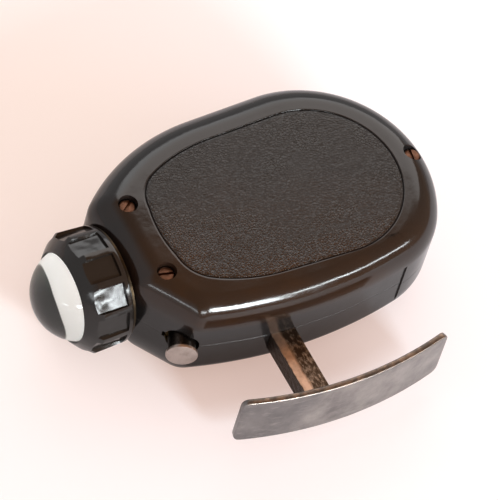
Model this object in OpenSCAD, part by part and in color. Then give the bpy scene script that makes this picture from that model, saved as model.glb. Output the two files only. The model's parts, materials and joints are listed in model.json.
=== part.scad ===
// Hand dynamo flashlight: an oval moulded housing in two shells, a screw cap with a
// bull's-eye lens, and a spring-returned grip plate on a rack bar that spins a small dynamo.
// The lens looks along -X, the grip plate comes out along -Y, and +Z is up.
// The origin is on the flat base, beside the rack bar.

/* [Housing] */
// Height of the closed housing
body_h = 36; // [35.6:0.1:37]
// Height of the upper rounded edge
edge_h = 9.4; // [9:0.1:9.6]
// Height of the lower rounded edge
low_edge_h = 12; // [11.5:0.1:12.4]
// Radius of the round tail
tail_r = 36.7; // [36.4:0.1:37.5]
// Distance of the tail centre behind the origin
tail_x = 19.1; // [18.8:0.1:19.5]
// Length of the straight part of each long side
side_len = 22.7; // [22:0.1:23.5]
// Slope of the long sides towards the lamp, in degrees
side_slope = 2.2; // [1.8:0.1:2.6]
// Radius of the long curve from the side to the front corner
side_r = 60; // [59:0.5:62]
// Radius of the far front corner
corner_r = 7; // [6.5:0.1:8]
// Position of the flat front face
front_x = -45.2; // [-45.6:0.1:-45]
// Width of the rounded edge, seen from above
edge_w = 9.2; // [8.8:0.1:9.4]
// Width of the upper rounded edge along the grip side
edge_near_w = 6.6; // [6:0.1:7]
// Width of the lower rounded edge along the grip side
low_near_w = 12; // [11.5:0.1:12.2]
// Width of the lower rounded edge under the slanted corner face
low_slant_w = 6; // [5.9:0.1:7]
// Direction of the slanted corner face that holds the button, in degrees
slant_angle = 214.5; // [213.5:0.1:215.5]
// Distance of the slanted corner face from the origin
slant_d = 43.7; // [43.4:0.1:44]
// Thickness of the moulded wall
wall = 2.5; // [2.3:0.1:2.7]
// Bevel along the parting line
parting_bevel = 0.2; // [0.1:0.05:0.3]

/* [Grip side] */
// Radius of the flattened side that faces the grip plate
grip_side_r = 140; // [137:1:143]
// How far the flattened side is cut back from the tail's radius
grip_cut = 2.9; // [2.7:0.1:3.1]
// Depth of the shallow seat behind the grip plate
seat_depth = 0.8; // [0.5:0.1:1.1]
// Position of the step at the tail end of the seat
seat_end_x = 34.4; // [34.2:0.1:35.2]

/* [Top panel] */
// Radius of the tail end of the grained panel
panel_tail_r = 25; // [24:0.5:26]
// Radius of the panel's long side curves
panel_side_r = 48; // [47:0.5:50]
// Radius of the panel's front corners
panel_corner_r = 12; // [11:0.5:13]
// Position of the panel's front end
panel_front_x = -31; // [-31.5:0.1:-30]
// Width of the groove round the panel
panel_groove_w = 0.6; // [0.4:0.1:1.2]
// Depth of the groove round the panel
panel_groove_d = 0.4; // [0.3:0.1:0.8]

/* [Lamp cap] */
// Largest radius of the screw cap
cap_r = 17.8; // [17.7:0.05:17.9]
// Radius of the cap's rear rim
cap_rear_r = 17.3; // [17.2:0.05:17.4]
// Gap between the housing's front face and the cap
cap_gap = 1; // [0.8:0.1:1.4]
// Length of the cap's grip band
cap_band_l = 9.5; // [9.2:0.1:10]
// Length of the cap's tapered nose
cap_nose_l = 4.4; // [4.2:0.1:4.8]
// Depth of each flat at the cap's rear rim
cap_flat_d = 0.9; // [0.7:0.1:1.1]
// Width of the rib left between two flats
cap_rib_w = 2.4; // [2:0.1:3]
// Width of the plain rim behind the flats
cap_rim_w = 1.5; // [1.2:0.1:2]
// Radius of the lens opening
lens_open_r = 13.1; // [12.9:0.05:13.2]
// Radius of the glass lens
lens_r = 14; // [13.95:0.05:14.1]
// Radius of the screwed neck that carries the cap
neck_r = 14.9; // [14.8:0.05:15]
// Radius of the opening for the neck in the front face
neck_seat_r = 11.6; // [11.4:0.1:11.8]
// Play between sliding and turning pieces
fit = 0.06; // [0.04:0.01:0.08]

/* [Grip plate and bar] */
// Length of the grip plate along its chord
plate_len = 66.2; // [64:0.2:66.6]
// Height of the grip plate
plate_h = 18.7; // [18:0.1:19.4]
// Thickness of the grip plate
plate_t = 2; // [1.6:0.1:2.4]
// Height of the grip plate's lower edge above the base
plate_z = 5.3; // [4.8:0.1:5.8]
// Radius of the grip plate's corners
plate_corner_r = 2.2; // [1.6:0.1:4]
// Inner radius of the curved grip plate
plate_in_r = 118; // [116:1:122]
// Middle of the grip plate along the long axis
plate_x = 2.6; // [2.3:0.1:2.8]
// Gap between the pressed plate and the flattened side
plate_gap = 2.3; // [2.1:0.1:3.2]
// Travel of the grip plate
travel = 20.5; // [19:0.5:20.5]
// Width of the rack bar
bar_w = 7.6; // [7.4:0.1:7.8]
// Height of the rack bar
bar_h = 6.65; // [6.4:0.05:6.8]
// Middle of the rack bar along the long axis
bar_x = -5.7; // [-5.9:0.1:-5.5]
// Position of the bar's inner end at rest
bar_end_y = 9; // [8.6:0.1:9.3]
// Play of the bar in its slot
bar_play = 0.15; // [0.1:0.05:0.25]

/* [Gear train] */
// Module of the rack and its pinion
rack_m = 0.8; // [0.79:0.01:0.81]
// Module of the drive gear
drive_m = 0.5; // [0.49:0.01:0.51]
// Module of the middle gear
middle_m = 0.4; // [0.4:0.01:0.41]
// Sideways play of each tooth
tooth_play = 0.07; // [0.05:0.01:0.09]
// Distance of the rotor behind the rack pinion
rotor_dx = 22.9; // [22.7:0.1:23.1]
// Radius of the thick shaft that carries the rack pinion
drive_shaft_r = 1.5; // [1.4:0.05:1.6]
// Radius of the middle and rotor shafts
thin_shaft_r = 1.2; // [1.1:0.05:1.3]

/* [Dynamo] */
// Radius of the magnet
magnet_r = 9; // [8.6:0.1:9.2]
// Height of the magnet
magnet_h = 10; // [9:0.5:10.5]
// Air gap between magnet and pole shoes
air_gap = 0.6; // [0.4:0.1:0.8]
// Thickness of the pole shoes and limbs
shoe_t = 3; // [2.6:0.1:3.2]
// Thickness of the winding on its bobbin
coil_t = 2.3; // [1.8:0.1:2.4]

/* [Frame] */
// Thickness of the two frame plates
frame_t = 1.2; // [1:0.1:1.3]
// Height of the lower plate's underside
frame_z = 3.2; // [3:0.1:3.3]
// Distance of the upper plate's top face below the housing's top
frame_drop = 7.4; // [7.1:0.1:7.5]
// Radius of the pillars
pillar_r = 2.2; // [2:0.1:2.4]

/* [Fasteners] */
// Radius of a cover screw's head
screw_head_r = 2.35; // [2.2:0.05:2.5]
// Height of a cover screw's head
screw_head_h = 1.6; // [1.4:0.1:2]
// Radius of a cover screw's shank
screw_r = 1.45; // [1.3:0.05:1.5]
// Depth of the screw heads below the surface
screw_sink = 1.7; // [1.2:0.1:2]
// Distance of the front screws from the axis
front_screw_y = 12.2; // [12:0.1:12.5]

/* [Push button] */
// Radius of the button's disc
button_r = 4.6; // [4.4:0.05:4.7]
// Thickness of the button's disc
button_t = 1.1; // [0.8:0.1:1.4]
// Radius of the button's neck
button_neck_r = 4; // [3.8:0.05:4.1]
// Travel of the button
button_travel = 3.5; // [2:0.1:3.5]
// How far the button stands out of the housing
button_out = 6; // [5.6:0.1:6.2]
// Direction of the button, degrees from the long axis
button_angle = 62; // [61.5:0.5:63]

/* [Hidden] */
smooth = 96;
press_play = 0.02;
seat_gap = 0.05;
mid_z = body_h / 2;
grip_side_y = tail_r - grip_cut;
plate_y = grip_side_y + travel + plate_gap;
// Corner radii of the wall and of the edge line: at the front face, at the grip side, and
// between the grip side and the tail.
front_r = 6;
near_r = 1.6;
blend_r = 25;
inner_near_r = 1;
edge_corner_r = 2.5;
edge_front_r = 4;
edge_near_r = 2;
edge_blend_r = 18;
low_front_r = 2;
low_near_r = 1;
low_blend_r = 14;

// Outlines are rows of [x, y, nx, ny]: a point and its outward direction.
function arc_rows(c, r, a0, a1, n, last = 0) =
    [for (i = [0 : n - 1 + last]) let (a = a0 + (a1 - a0) * i / n)
        [c[0] + r * cos(a), c[1] + r * sin(a), cos(a), sin(a)]];
function angle_of(v) = (atan2(v[1], v[0]) + 360) % 360;
// Centre at distance d1 from c1 and d2 from c2, on the side given by the sign.
function meet(c1, d1, c2, d2, side) =
    let (v = c2 - c1, d = norm(v), u = v / d,
         a = (d1 * d1 - d2 * d2 + d * d) / (2 * d), h = sqrt(d1 * d1 - a * a))
    c1 + a * u + side * h * [-u[1], u[0]];
// Centre of a circle that touches a straight face and the inside of a larger circle.
function nestle(u, d, r, c, big) =
    let (h = d - r - u * c, t = sqrt(pow(big - r, 2) - h * h)) c + h * u + t * [-u[1], u[0]];
function side_centre(tr, sr) = let (a = 90 + side_slope)
    [tail_x + (tr - sr) * cos(a) - side_len * cos(side_slope),
     (tr - sr) * sin(a) - side_len * sin(side_slope)];
function corner_centre(s, sr, cr, fx) = let (dx = fx + cr - s[0], d = sr - cr)
    [fx + cr, s[1] + sqrt(d * d - dx * dx)];

tail_c = [tail_x, 0];
grip_c = [3.8, grip_side_r - grip_side_y];
slant_u = [cos(slant_angle), sin(slant_angle)];
// The housing's outline at inset d, with insets of its own for the grip side (dn) and the
// slanted face (ds), and the corner radii: far front corner, front face to slanted face,
// slanted face to grip side, and grip side to tail.
function outline(d, dn, ds, cr, r1, r2, br) =
    let (tr = tail_r - d, sr = side_r - d, fx = front_x + d, gr = grip_side_r - dn, sd = slant_d - ds,
         s = side_centre(tr, sr), f = corner_centre(s, sr, cr, fx), fa = angle_of(f - s),
         c1 = [fx + r1, (sd - r1 - slant_u[0] * (fx + r1)) / slant_u[1]],
         c2 = nestle(slant_u, sd, r2, grip_c, gr), a2 = angle_of(c2 - grip_c),
         b = meet(tail_c, tr - br, grip_c, gr - br, -1),
         a3 = angle_of(b - grip_c), a4 = angle_of(b - tail_c))
    concat(
        arc_rows(tail_c, tr, 0, 90 + side_slope, 12, 1),
        arc_rows(s, sr, 90 + side_slope, fa, 6),
        arc_rows(f, cr, fa, 180, 5, 1),
        arc_rows(c1, r1, 180, slant_angle, 4, 1),
        arc_rows(c2, r2, slant_angle, a2, 3),
        arc_rows(grip_c, gr, a2, a3, 9),
        arc_rows(b, br, a3, a4, 6),
        arc_rows(tail_c, tr, a4, 360, 5));
wall_rows = outline(0, 0, 0, corner_r, front_r, near_r, blend_r);
inner_rows = outline(wall, wall, wall, corner_r - wall, front_r - wall, inner_near_r,
    blend_r - wall);
edge_rows = outline(edge_w, edge_near_w, edge_near_w, edge_corner_r, edge_front_r, edge_near_r,
    edge_blend_r);
low_rows = outline(edge_w, low_near_w, low_slant_w, edge_corner_r, low_front_r, low_near_r,
    low_blend_r);
frame_inset = 9.6;
frame_near_inset = 10;
frame_corner_r = 2;
frame_blend_r = 16;
frame_rows = outline(frame_inset, frame_near_inset, frame_inset, frame_corner_r, frame_corner_r,
    frame_corner_r, frame_blend_r);

panel_s = side_centre(panel_tail_r, panel_side_r);
panel_f = corner_centre(panel_s, panel_side_r, panel_corner_r, panel_front_x);
panel_a = angle_of(panel_f - panel_s);
panel_half = concat(
    arc_rows(tail_c, panel_tail_r, 0, 90 + side_slope, 14, 1),
    arc_rows(panel_s, panel_side_r, 90 + side_slope, panel_a, 6),
    arc_rows(panel_f, panel_corner_r, panel_a, 180, 8, 1));
panel_rows = concat(panel_half, [for (i = [len(panel_half) - 1 : -1 : 1])
    let (p = panel_half[i]) [p[0], -p[1], p[2], -p[3]]]);
function grown(rows, d) = [for (p = rows) [p[0] + d * p[2], p[1] + d * p[3]]];

// A closed form through rings of equal length, lowest ring first.
module loft(rings) {
    n = len(rings[0]);
    m = len(rings);
    polyhedron(
        points = [for (r = rings) each r],
        faces = concat(
            [[for (i = [0 : n - 1]) i]],
            [[for (i = [n - 1 : -1 : 0]) (m - 1) * n + i]],
            [for (j = [0 : m - 2]) for (i = [0 : n - 1]) let (k = (i + 1) % n)
                each [[j * n + i, (j + 1) * n + i, (j + 1) * n + k],
                      [j * n + i, (j + 1) * n + k, j * n + k]]]),
        convexity = 6);
}
// Half a housing form, standing on the parting plane at z = 0. Its edge, of height h, is a
// quarter ellipse from the wall outline up to the outline given as tops.
edge_steps = 7;
function edge_rings(rows, tops, h, v) = [for (i = [0 : edge_steps]) let (a = 90 * i / edge_steps)
    [for (k = [0 : len(rows) - 1]) let (p = rows[k], q = tops[k], g = 1 - cos(a))
        [p[0] + g * (q[0] - p[0]), p[1] + g * (q[1] - p[1]), mid_z - h + v * sin(a)]]];
module outer_half(tops, h) {
    loft(concat(
        [[for (p = grown(wall_rows, -parting_bevel)) [p[0], p[1], 0]],
         [for (p = wall_rows) [p[0], p[1], parting_bevel]]],
        edge_rings(wall_rows, tops, h, h)));
}
module inner_half(tops, h) {
    loft(concat([[for (p = inner_rows) [p[0], p[1], -1]]],
        edge_rings(inner_rows, tops, h, h - wall)));
}
module seat_cut() {
    linear_extrude(height = body_h - edge_h)
    difference() {
        translate([front_x, -2 * grip_side_y]) square([seat_end_x - front_x, 2 * grip_side_y]);
        translate(grip_c) circle(r = grip_side_r - seat_depth, $fn = 360);
    }
}

// The lamp's axis runs along X at the height of the parting plane.
module lamp_turn(x, a = 0) {
    translate([x, 0, mid_z]) rotate([a, 0, 0]) rotate([0, -90, 0]) children();
}
module at_xy(p, z) {
    translate([p[0], p[1], z]) children();
}
cap_rear_x = front_x - cap_gap;
cap_front_x = cap_rear_x - cap_band_l - cap_nose_l;
cap_bore_r = neck_r + fit;
cap_flats = 12;
lens_play = 0.08;
lens_back_x = cap_front_x + sqrt(lens_r * lens_r - pow(lens_open_r - 0.2, 2));
neck_wall = 0.8;
neck_flange_t = cap_gap - 0.3;
neck_flange_r = neck_r + 1.5;
neck_nut_r = neck_seat_r + 1.6;
neck_nut_t = 1;
seal_t = 0.55;
rim_t = 0.35;
neck_front_x = lens_back_x + 2 * seat_gap + seal_t + rim_t;
neck_len = front_x - neck_front_x;
neck_bore_r = neck_r - neck_wall;
holder_r = 6;
holder_bore_r = 4.95;
holder_x = front_x + 12.5;
holder_len = 13;
holder_foot_w = 6;
holder_foot_l = 3.2;
holder_leg_t = 1.2;
holder_foot_t = 0.8;
reflector_len = 8.3;
reflector_t = 0.5;
reflector_back_r = holder_r + fit + reflector_t;
sleeve_l = 1.5;
bulb_r = 4.8;
bulb_neck_r = 3.6;
bulb_x = lens_back_x + bulb_r + 1.2;
bulb_base_x = bulb_x + bulb_r + 2.4;
bulb_base_r = holder_bore_r - fit;
bulb_base_len = 9.5;
contact_x = bulb_base_x + bulb_base_len + 1.4;
strip_w = 5;
strip_t = 0.5;
strip_foot_l = 7;
strip_rise = 2;

// Grip plate, rack bar and spring.
bar_top = mid_z - bar_play;
bar_low = bar_top - bar_h;
bar_l = bar_x - bar_w / 2;
bar_rt = bar_x + bar_w / 2;
plate_c = [plate_x, plate_in_r - plate_y];
plate_back_y = plate_c[1] - sqrt(pow(plate_in_r, 2) - pow(bar_l - plate_x, 2));
lug_w = 7.4;
lug_t = 1.8;
low_top = frame_z + frame_t;
lug_y = bar_end_y - lug_t;
spring_z = (low_top + bar_low) / 2;
spring_r = 1.9;
spring_wire_r = 0.4;
spring_turns = 10;
spring_hook = 2;
pin_r = 0.9;
guide_y = -21;
guide_len = 5.5;
guide_side = 2.2;
pin_y = guide_y + guide_len + 2 * pin_r + 0.3;

// Gear train. The rack bar's teeth face +X.
press_angle = 25;
pinion_n = 12;
gear_n = 48;
rack_pitch = PI * rack_m;
pinion_pr = rack_m * pinion_n / 2;
drive_xy = [bar_rt - rack_m + pinion_pr, 0];
rotor_xy = drive_xy + [rotor_dx, 0];
middle_xy = meet(drive_xy, drive_m * (gear_n + pinion_n) / 2,
    rotor_xy, middle_m * (gear_n + pinion_n) / 2, 1);
drive_mesh_a = angle_of(middle_xy - drive_xy);
middle_mesh_a = angle_of(rotor_xy - middle_xy);
half_pitch_a = 180 / pinion_n;

// Heights in the gear frame, from the lower plate up.
high_top = body_h - frame_drop;
high_low = high_top - frame_t;
shaft_z0 = frame_z + 0.2;
shaft_z1 = high_top - 0.2;
bush_r = 2.6;
bush_flange_r = 3.4;
bush_flange_t = 0.7;
collar_z = low_top + bush_flange_t + 0.2;
collar_h = 0.8;
collar_r = 2.4;
pinion_z = bar_low + 0.8;
pinion_h = bar_h - 1.6;
hub_z = mid_z + 0.7;
hub_flange_t = 0.5;
cup_z = hub_z + 0.3;
web_t = 1;
gear_gap = 0.8;
middle_gear_h = 1.6;
middle_gear_z = high_low - bush_flange_t - 0.9 - middle_gear_h;
cup_h = middle_gear_z - gear_gap - web_t - cup_z;
race_r = 7;
roller_r = 1.1;
roller_play = 0.04;
roller_c = race_r - roller_r - roller_play;
hub_r = race_r - 0.4;
hub_h = cup_z + cup_h - 0.3 - hub_z;
roller_h = hub_h - hub_flange_t - 2 * seat_gap;
rotor_pinion_h = middle_gear_h + 0.4;
magnet_z = collar_z + collar_h + 0.1;
core_inset = 2;
core_z = magnet_z + core_inset;
core_h = magnet_h - 2 * core_inset;
shoe_r = magnet_r + air_gap;
shoe_back_a = 40;
shoe_tip_a = 180 - angle_of(middle_xy - rotor_xy)
    + asin((thin_shaft_r + 1) / norm(middle_xy - rotor_xy));
core_w = 4;
bobbin_t = 0.7;
coil_x = rotor_xy[0] + shoe_r + shoe_t + 2.9;
bobbin_half = shoe_r - 0.3;
spacer_r = 1.8;

// Places of the pillars and frame screws: behind the front face or before the tail's centre,
// and in from the far side or the grip side.
pillar_from_front = [17.2, 27.2];
pillar_from_tail = [7.1, 5.1];
pillar_from_far = [19.7, 13.7];
pillar_from_grip = [14.8, 13.3];
pillars = [[front_x + pillar_from_front[0], tail_r - pillar_from_far[0]],
    [front_x + pillar_from_front[1], pillar_from_grip[0] - grip_side_y],
    [tail_x - pillar_from_tail[0], tail_r - pillar_from_far[1]],
    [tail_x - pillar_from_tail[1], pillar_from_grip[1] - grip_side_y]];
stud_r = 1.2;
nut_r = 2.5;
nut_h = 1.6;
screw_from_front = 21.2;
screw_from_tail = [1.9, 6.9];
front_frame_screw_y = 9;
screw_from_grip = 15.3;
screw_from_far = 17.7;
frame_screws_xy = [[front_x + screw_from_front, front_frame_screw_y],
    [tail_x + screw_from_tail[0], screw_from_grip - grip_side_y],
    [tail_x + screw_from_tail[1], tail_r - screw_from_far]];
light_hole_step = 15;
light_holes_x = [front_x + screw_from_front, front_x + screw_from_front + light_hole_step];
light_hole_r = 4.5;
frame_screw_r = 1;
frame_screw_head_r = 1.9;
pad_r = 3;
boss_r = 3.9;
tail_boss_r = 3.5;
insert_r = 2;
insert_h = 8;
head_play = 0.35;
cover_from_front = 9.2;
cover_from_tail = 4.8;
cover_screws_xy = [[front_x + cover_from_front, front_screw_y],
    [front_x + cover_from_front, -front_screw_y], [tail_x + tail_r - cover_from_tail, 0]];
boss_radii = [boss_r, boss_r, tail_boss_r];
head_tops = [body_h - screw_sink, body_h - screw_sink, body_h - screw_sink - 1.3];
slot_angles = [38, -12, 80];

// The button lies in the parting plane; s runs inwards from its face.
button_u = [cos(button_angle), sin(button_angle), 0];
button_from_front = 11;
button_from_side = 9.3;
button_face = [front_x + button_from_front, button_from_side - grip_side_y, mid_z]
    - button_out * button_u;
button_hole_r = button_r + 0.3;
neck_end_s = 9;
button_guide_r = button_hole_r - seat_gap;
button_guide_s = 8.4;
button_guide_l = 7.7;
button_guide_end = 1.2;
stem_r = 1.8;
stem_len = 8.8;
clip_r = 2.8;
clip_t = 0.8;
key_w = 1.6;
key_r = button_hole_r + 0.6;

module button_turn(s) {
    translate(button_face + s * button_u) rotate([0, 0, button_angle]) rotate([0, 90, 0])
        children();
}
// A bar along the button's key direction, from radius r0 to r1.
module button_key(s, len, r0, r1, w) {
    translate(button_face + s * button_u) rotate([0, 0, button_angle])
        translate([0, r0, -w / 2]) cube([len, r1 - r0, w]);
}

// Cuts and bosses that both shells share, halved by the parting plane.
module shared_cuts() {
    seat_cut();
    lamp_turn(front_x + wall + 0.2) cylinder(r = neck_seat_r + seat_gap, h = wall + 2, $fn = smooth);
    lamp_turn(front_x + wall + neck_nut_t + 0.3)
        cylinder(r = neck_nut_r + 0.3, h = neck_nut_t + 0.3, $fn = smooth);
    button_turn(-button_out) cylinder(r = button_hole_r,
        h = button_out + button_guide_s + button_guide_l + 0.3, $fn = smooth);
    button_key(0, button_guide_s, button_hole_r - 1, key_r + 0.2, key_w + 0.4);
}
module shared_bosses() {
    for (i = [0 : 2])
        at_xy(cover_screws_xy[i], 0) cylinder(r = boss_radii[i], h = body_h, $fn = smooth);
    button_turn(button_guide_s - 1.5)
        cylinder(r = button_hole_r + 1.8, h = button_guide_l - 1, $fn = smooth);
}
module outer_lower() {
    translate([0, 0, mid_z]) mirror([0, 0, 1]) outer_half(low_rows, low_edge_h);
}
module outer_upper() {
    translate([0, 0, mid_z]) outer_half(edge_rows, edge_h);
}

module lower_shell() {
    color("#1c1a18")
    difference() {
        union() {
            difference() {
                outer_lower();
                translate([0, 0, mid_z]) mirror([0, 0, 1]) inner_half(low_rows, low_edge_h);
            }
            intersection() {
                outer_lower();
                union() {
                    shared_bosses();
                    for (p = frame_screws_xy)
                        at_xy(p, 0) cylinder(r = pad_r, h = frame_z, $fn = smooth);
                }
            }
        }
        shared_cuts();
        translate([bar_l - bar_play, -2 * grip_side_y, bar_low - bar_play])
            cube([bar_w + 2 * bar_play, 1.5 * grip_side_y, body_h]);
        for (p = cover_screws_xy) {
            at_xy(p, mid_z - insert_h) cylinder(r = insert_r, h = body_h, $fn = smooth);
            at_xy(p, mid_z - insert_h - 2) cylinder(r = screw_r + 0.1, h = body_h, $fn = smooth);
        }
        for (p = frame_screws_xy)
            at_xy(p, 1) cylinder(r = frame_screw_r + seat_gap, h = body_h, $fn = smooth);
    }
}

module upper_shell() {
    color("#1c1a18")
    difference() {
        union() {
            difference() {
                outer_upper();
                translate([0, 0, mid_z]) inner_half(edge_rows, edge_h);
            }
            intersection() {
                outer_upper();
                shared_bosses();
            }
        }
        shared_cuts();
        translate([0, 0, body_h - panel_groove_d]) linear_extrude(height = body_h) difference() {
            polygon(grown(panel_rows, panel_groove_w / 2));
            polygon(grown(panel_rows, -panel_groove_w / 2));
        }
        for (i = [0 : 2]) {
            at_xy(cover_screws_xy[i], head_tops[i] - screw_head_h)
                cylinder(r = screw_head_r + head_play, h = body_h, $fn = smooth);
            at_xy(cover_screws_xy[i], 0) cylinder(r = screw_r + 0.15, h = body_h, $fn = smooth);
        }
    }
}

module cover_screws() {
    color("#8a5a3c")
    for (i = [0 : 2])
        difference() {
            at_xy(cover_screws_xy[i], 0) rotate_extrude($fn = smooth) polygon([
                [0, mid_z - insert_h + 0.5], [screw_r, mid_z - insert_h + 1.2],
                [screw_r, head_tops[i] - screw_head_h],
                [screw_head_r, head_tops[i] - screw_head_h],
                [screw_head_r, head_tops[i] - 0.4], [screw_head_r - 0.5, head_tops[i]],
                [0, head_tops[i]]]);
            at_xy(cover_screws_xy[i], head_tops[i]) rotate([0, 0, slot_angles[i]])
                cube([3 * screw_head_r, 0.8, screw_head_h], center = true);
        }
}

module threaded_inserts() {
    color("#b08d57")
    for (p = cover_screws_xy)
        difference() {
            at_xy(p, mid_z - insert_h) cylinder(r = insert_r - press_play, h = insert_h - 0.1,
                $fn = smooth);
            at_xy(p, 0) cylinder(r = screw_r + fit, h = body_h, $fn = smooth);
        }
}

module lamp_neck() {
    color("#a8824e")
    lamp_turn(front_x) rotate_extrude($fn = smooth) polygon([
        [neck_seat_r - neck_wall, -wall - neck_nut_t], [neck_nut_r, -wall - neck_nut_t],
        [neck_nut_r, -wall - seat_gap], [neck_seat_r, -wall - seat_gap],
        [neck_seat_r, seat_gap], [neck_flange_r, seat_gap], [neck_flange_r, neck_flange_t],
        [neck_r, neck_flange_t], [neck_r, neck_len], [neck_bore_r, neck_len],
        [neck_bore_r, neck_flange_t + neck_wall],
        [neck_seat_r - neck_wall, neck_flange_t + neck_wall]]);
}

module lens_cap() {
    lens_h = cap_rear_x - lens_back_x;
    seat_r = lens_r + lens_play;
    seat_a = acos(lens_open_r / seat_r);
    nose_r = lens_open_r + 0.5;
    nose_bulge = 0.25;
    flat_w = 2 * cap_r * sin(180 / cap_flats) - cap_rib_w;
    color("#1c1a18")
    difference() {
        lamp_turn(cap_rear_x) rotate_extrude($fn = smooth) polygon(concat(
            [[cap_bore_r, 0], [cap_rear_r - 0.4, 0], [cap_rear_r, 0.4], [cap_r, cap_band_l]],
            [for (i = [1 : 6]) let (t = i / 6) [
                nose_r + (cap_r - nose_r) * (1 - t) * (1 + nose_bulge * t),
                cap_band_l + cap_nose_l * t]],
            [for (i = [5 : -1 : 0]) let (a = seat_a * i / 5)
                [seat_r * cos(a), lens_h + seat_r * sin(a)]],
            [[cap_bore_r, lens_h - 0.1]]));
        for (i = [0 : cap_flats - 1])
            lamp_turn(cap_rear_x, (i + 0.5) * 360 / cap_flats)
            translate([cap_rear_r - cap_flat_d, -flat_w / 2, cap_rim_w])
                cube([cap_flat_d + 1, flat_w, cap_band_l + cap_nose_l]);
    }
}

module lens() {
    color("#cfd8d6")
    lamp_turn(lens_back_x) rotate_extrude($fn = smooth) intersection() {
        circle(r = lens_r, $fn = smooth);
        square([2 * lens_r, 2 * lens_r]);
    }
}

module lens_seal() {
    color("#3a3632")
    lamp_turn(lens_back_x + seat_gap + seal_t) rotate_extrude($fn = smooth)
        translate([lens_r - 1.6, 0]) square([1.5, seal_t]);
}

module reflector() {
    span = neck_bore_r - 0.5 - reflector_back_r;
    color("#d9d9d4")
    lamp_turn(neck_front_x) rotate_extrude($fn = smooth) polygon(concat(
        [[neck_r - 0.1, seat_gap], [neck_r - 0.1, seat_gap + rim_t],
         [neck_bore_r - 0.5, seat_gap + rim_t]],
        [for (i = [1 : 10]) let (t = i / 10)
            [reflector_back_r + span * sqrt(1 - t), -reflector_len * t]],
        [[holder_r + fit, -reflector_len], [holder_r + fit, -reflector_len - sleeve_l],
         [reflector_back_r, -reflector_len - sleeve_l]],
        [for (i = [10 : -1 : 1]) let (t = i / 10)
            [reflector_back_r + reflector_t + (span - 0.1) * sqrt(1 - t),
             -reflector_len * t - 0.6 * reflector_t]],
        [[neck_bore_r - 0.1, seat_gap]]));
}

module bulb_glass() {
    color("#e8e8e0")
    lamp_turn(bulb_x) rotate_extrude($fn = smooth) intersection() {
        union() {
            circle(r = bulb_r, $fn = smooth);
            translate([0, bulb_x - bulb_base_x]) square([bulb_neck_r, bulb_r]);
        }
        translate([0, -2 * bulb_r]) square([2 * bulb_r, 4 * bulb_r]);
    }
}

module bulb_base() {
    color("#b08d57")
    lamp_turn(bulb_base_x) rotate_extrude($fn = smooth) polygon([
        [0, -bulb_base_len - 1.2], [1.6, -bulb_base_len - 1.2], [1.6, -bulb_base_len],
        [bulb_base_r, 1 - bulb_base_len], [bulb_base_r, -seat_gap], [0, -seat_gap]]);
}

// The holder tube stands on the lower plate by a bent foot.
module bulb_holder() {
    color("#a8824e")
    difference() {
        union() {
            lamp_turn(holder_x) cylinder(r = holder_r, h = holder_len, $fn = smooth);
            translate([holder_x - holder_leg_t, -holder_foot_w / 2, low_top])
                cube([holder_leg_t, holder_foot_w, mid_z - low_top - 1]);
            translate([holder_x - holder_foot_l, -holder_foot_w / 2, low_top])
                cube([holder_foot_l, holder_foot_w, holder_foot_t]);
        }
        lamp_turn(holder_x + 1) cylinder(r = holder_bore_r, h = holder_len + 2, $fn = smooth);
    }
}

module contact_strip() {
    color("#b08d57")
    union() {
        translate([contact_x, -strip_w / 2, low_top])
            cube([strip_t, strip_w, mid_z - low_top + strip_rise]);
        translate([contact_x, -strip_w / 2, low_top]) cube([strip_foot_l, strip_w, strip_t]);
    }
}

module grip_plate() {
    color("#8b8886")
    intersection() {
        at_xy(plate_c, plate_z) difference() {
            cylinder(r = plate_in_r + plate_t, h = plate_h, $fn = 360);
            translate([0, 0, -1]) cylinder(r = plate_in_r, h = plate_h + 2, $fn = 360);
        }
        translate([plate_x - plate_len / 2, 0, plate_z]) rotate([90, 0, 0])
        linear_extrude(height = 2 * plate_y) union() {
            translate([plate_corner_r, 0]) square([plate_len - 2 * plate_corner_r, plate_h]);
            translate([0, plate_corner_r]) square([plate_len, plate_h - 2 * plate_corner_r]);
            for (x = [plate_corner_r, plate_len - plate_corner_r])
                for (z = [plate_corner_r, plate_h - plate_corner_r])
                    translate([x, z]) circle(r = plate_corner_r, $fn = smooth);
        }
    }
}

// The bar with rack teeth on its +X side and a lug under its inner end.
module rack_bar() {
    first = 2;
    gaps = ceil((travel + pinion_pr) / rack_pitch) + first;
    slope = tan(press_angle);
    half = rack_pitch / 4 + tooth_play / 2;
    color("#a97c4f")
    difference() {
        union() {
            translate([bar_l, plate_back_y + 0.3, bar_low])
                cube([bar_w, bar_end_y - plate_back_y - 0.3, bar_h]);
            translate([bar_x - lug_w / 2, lug_y, low_top + 0.6])
                cube([lug_w, lug_t, bar_low - low_top]);
        }
        translate([bar_rt - rack_m, 0, low_top]) linear_extrude(height = body_h)
        for (i = [0 : gaps])
            translate([0, (first - i) * rack_pitch])
            polygon([[2 * rack_m, -half - 2 * rack_m * slope], [2 * rack_m, half + 2 * rack_m * slope],
                [-1.25 * rack_m, half - 1.25 * rack_m * slope],
                [-1.25 * rack_m, 1.25 * rack_m * slope - half]]);
    }
}

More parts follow.
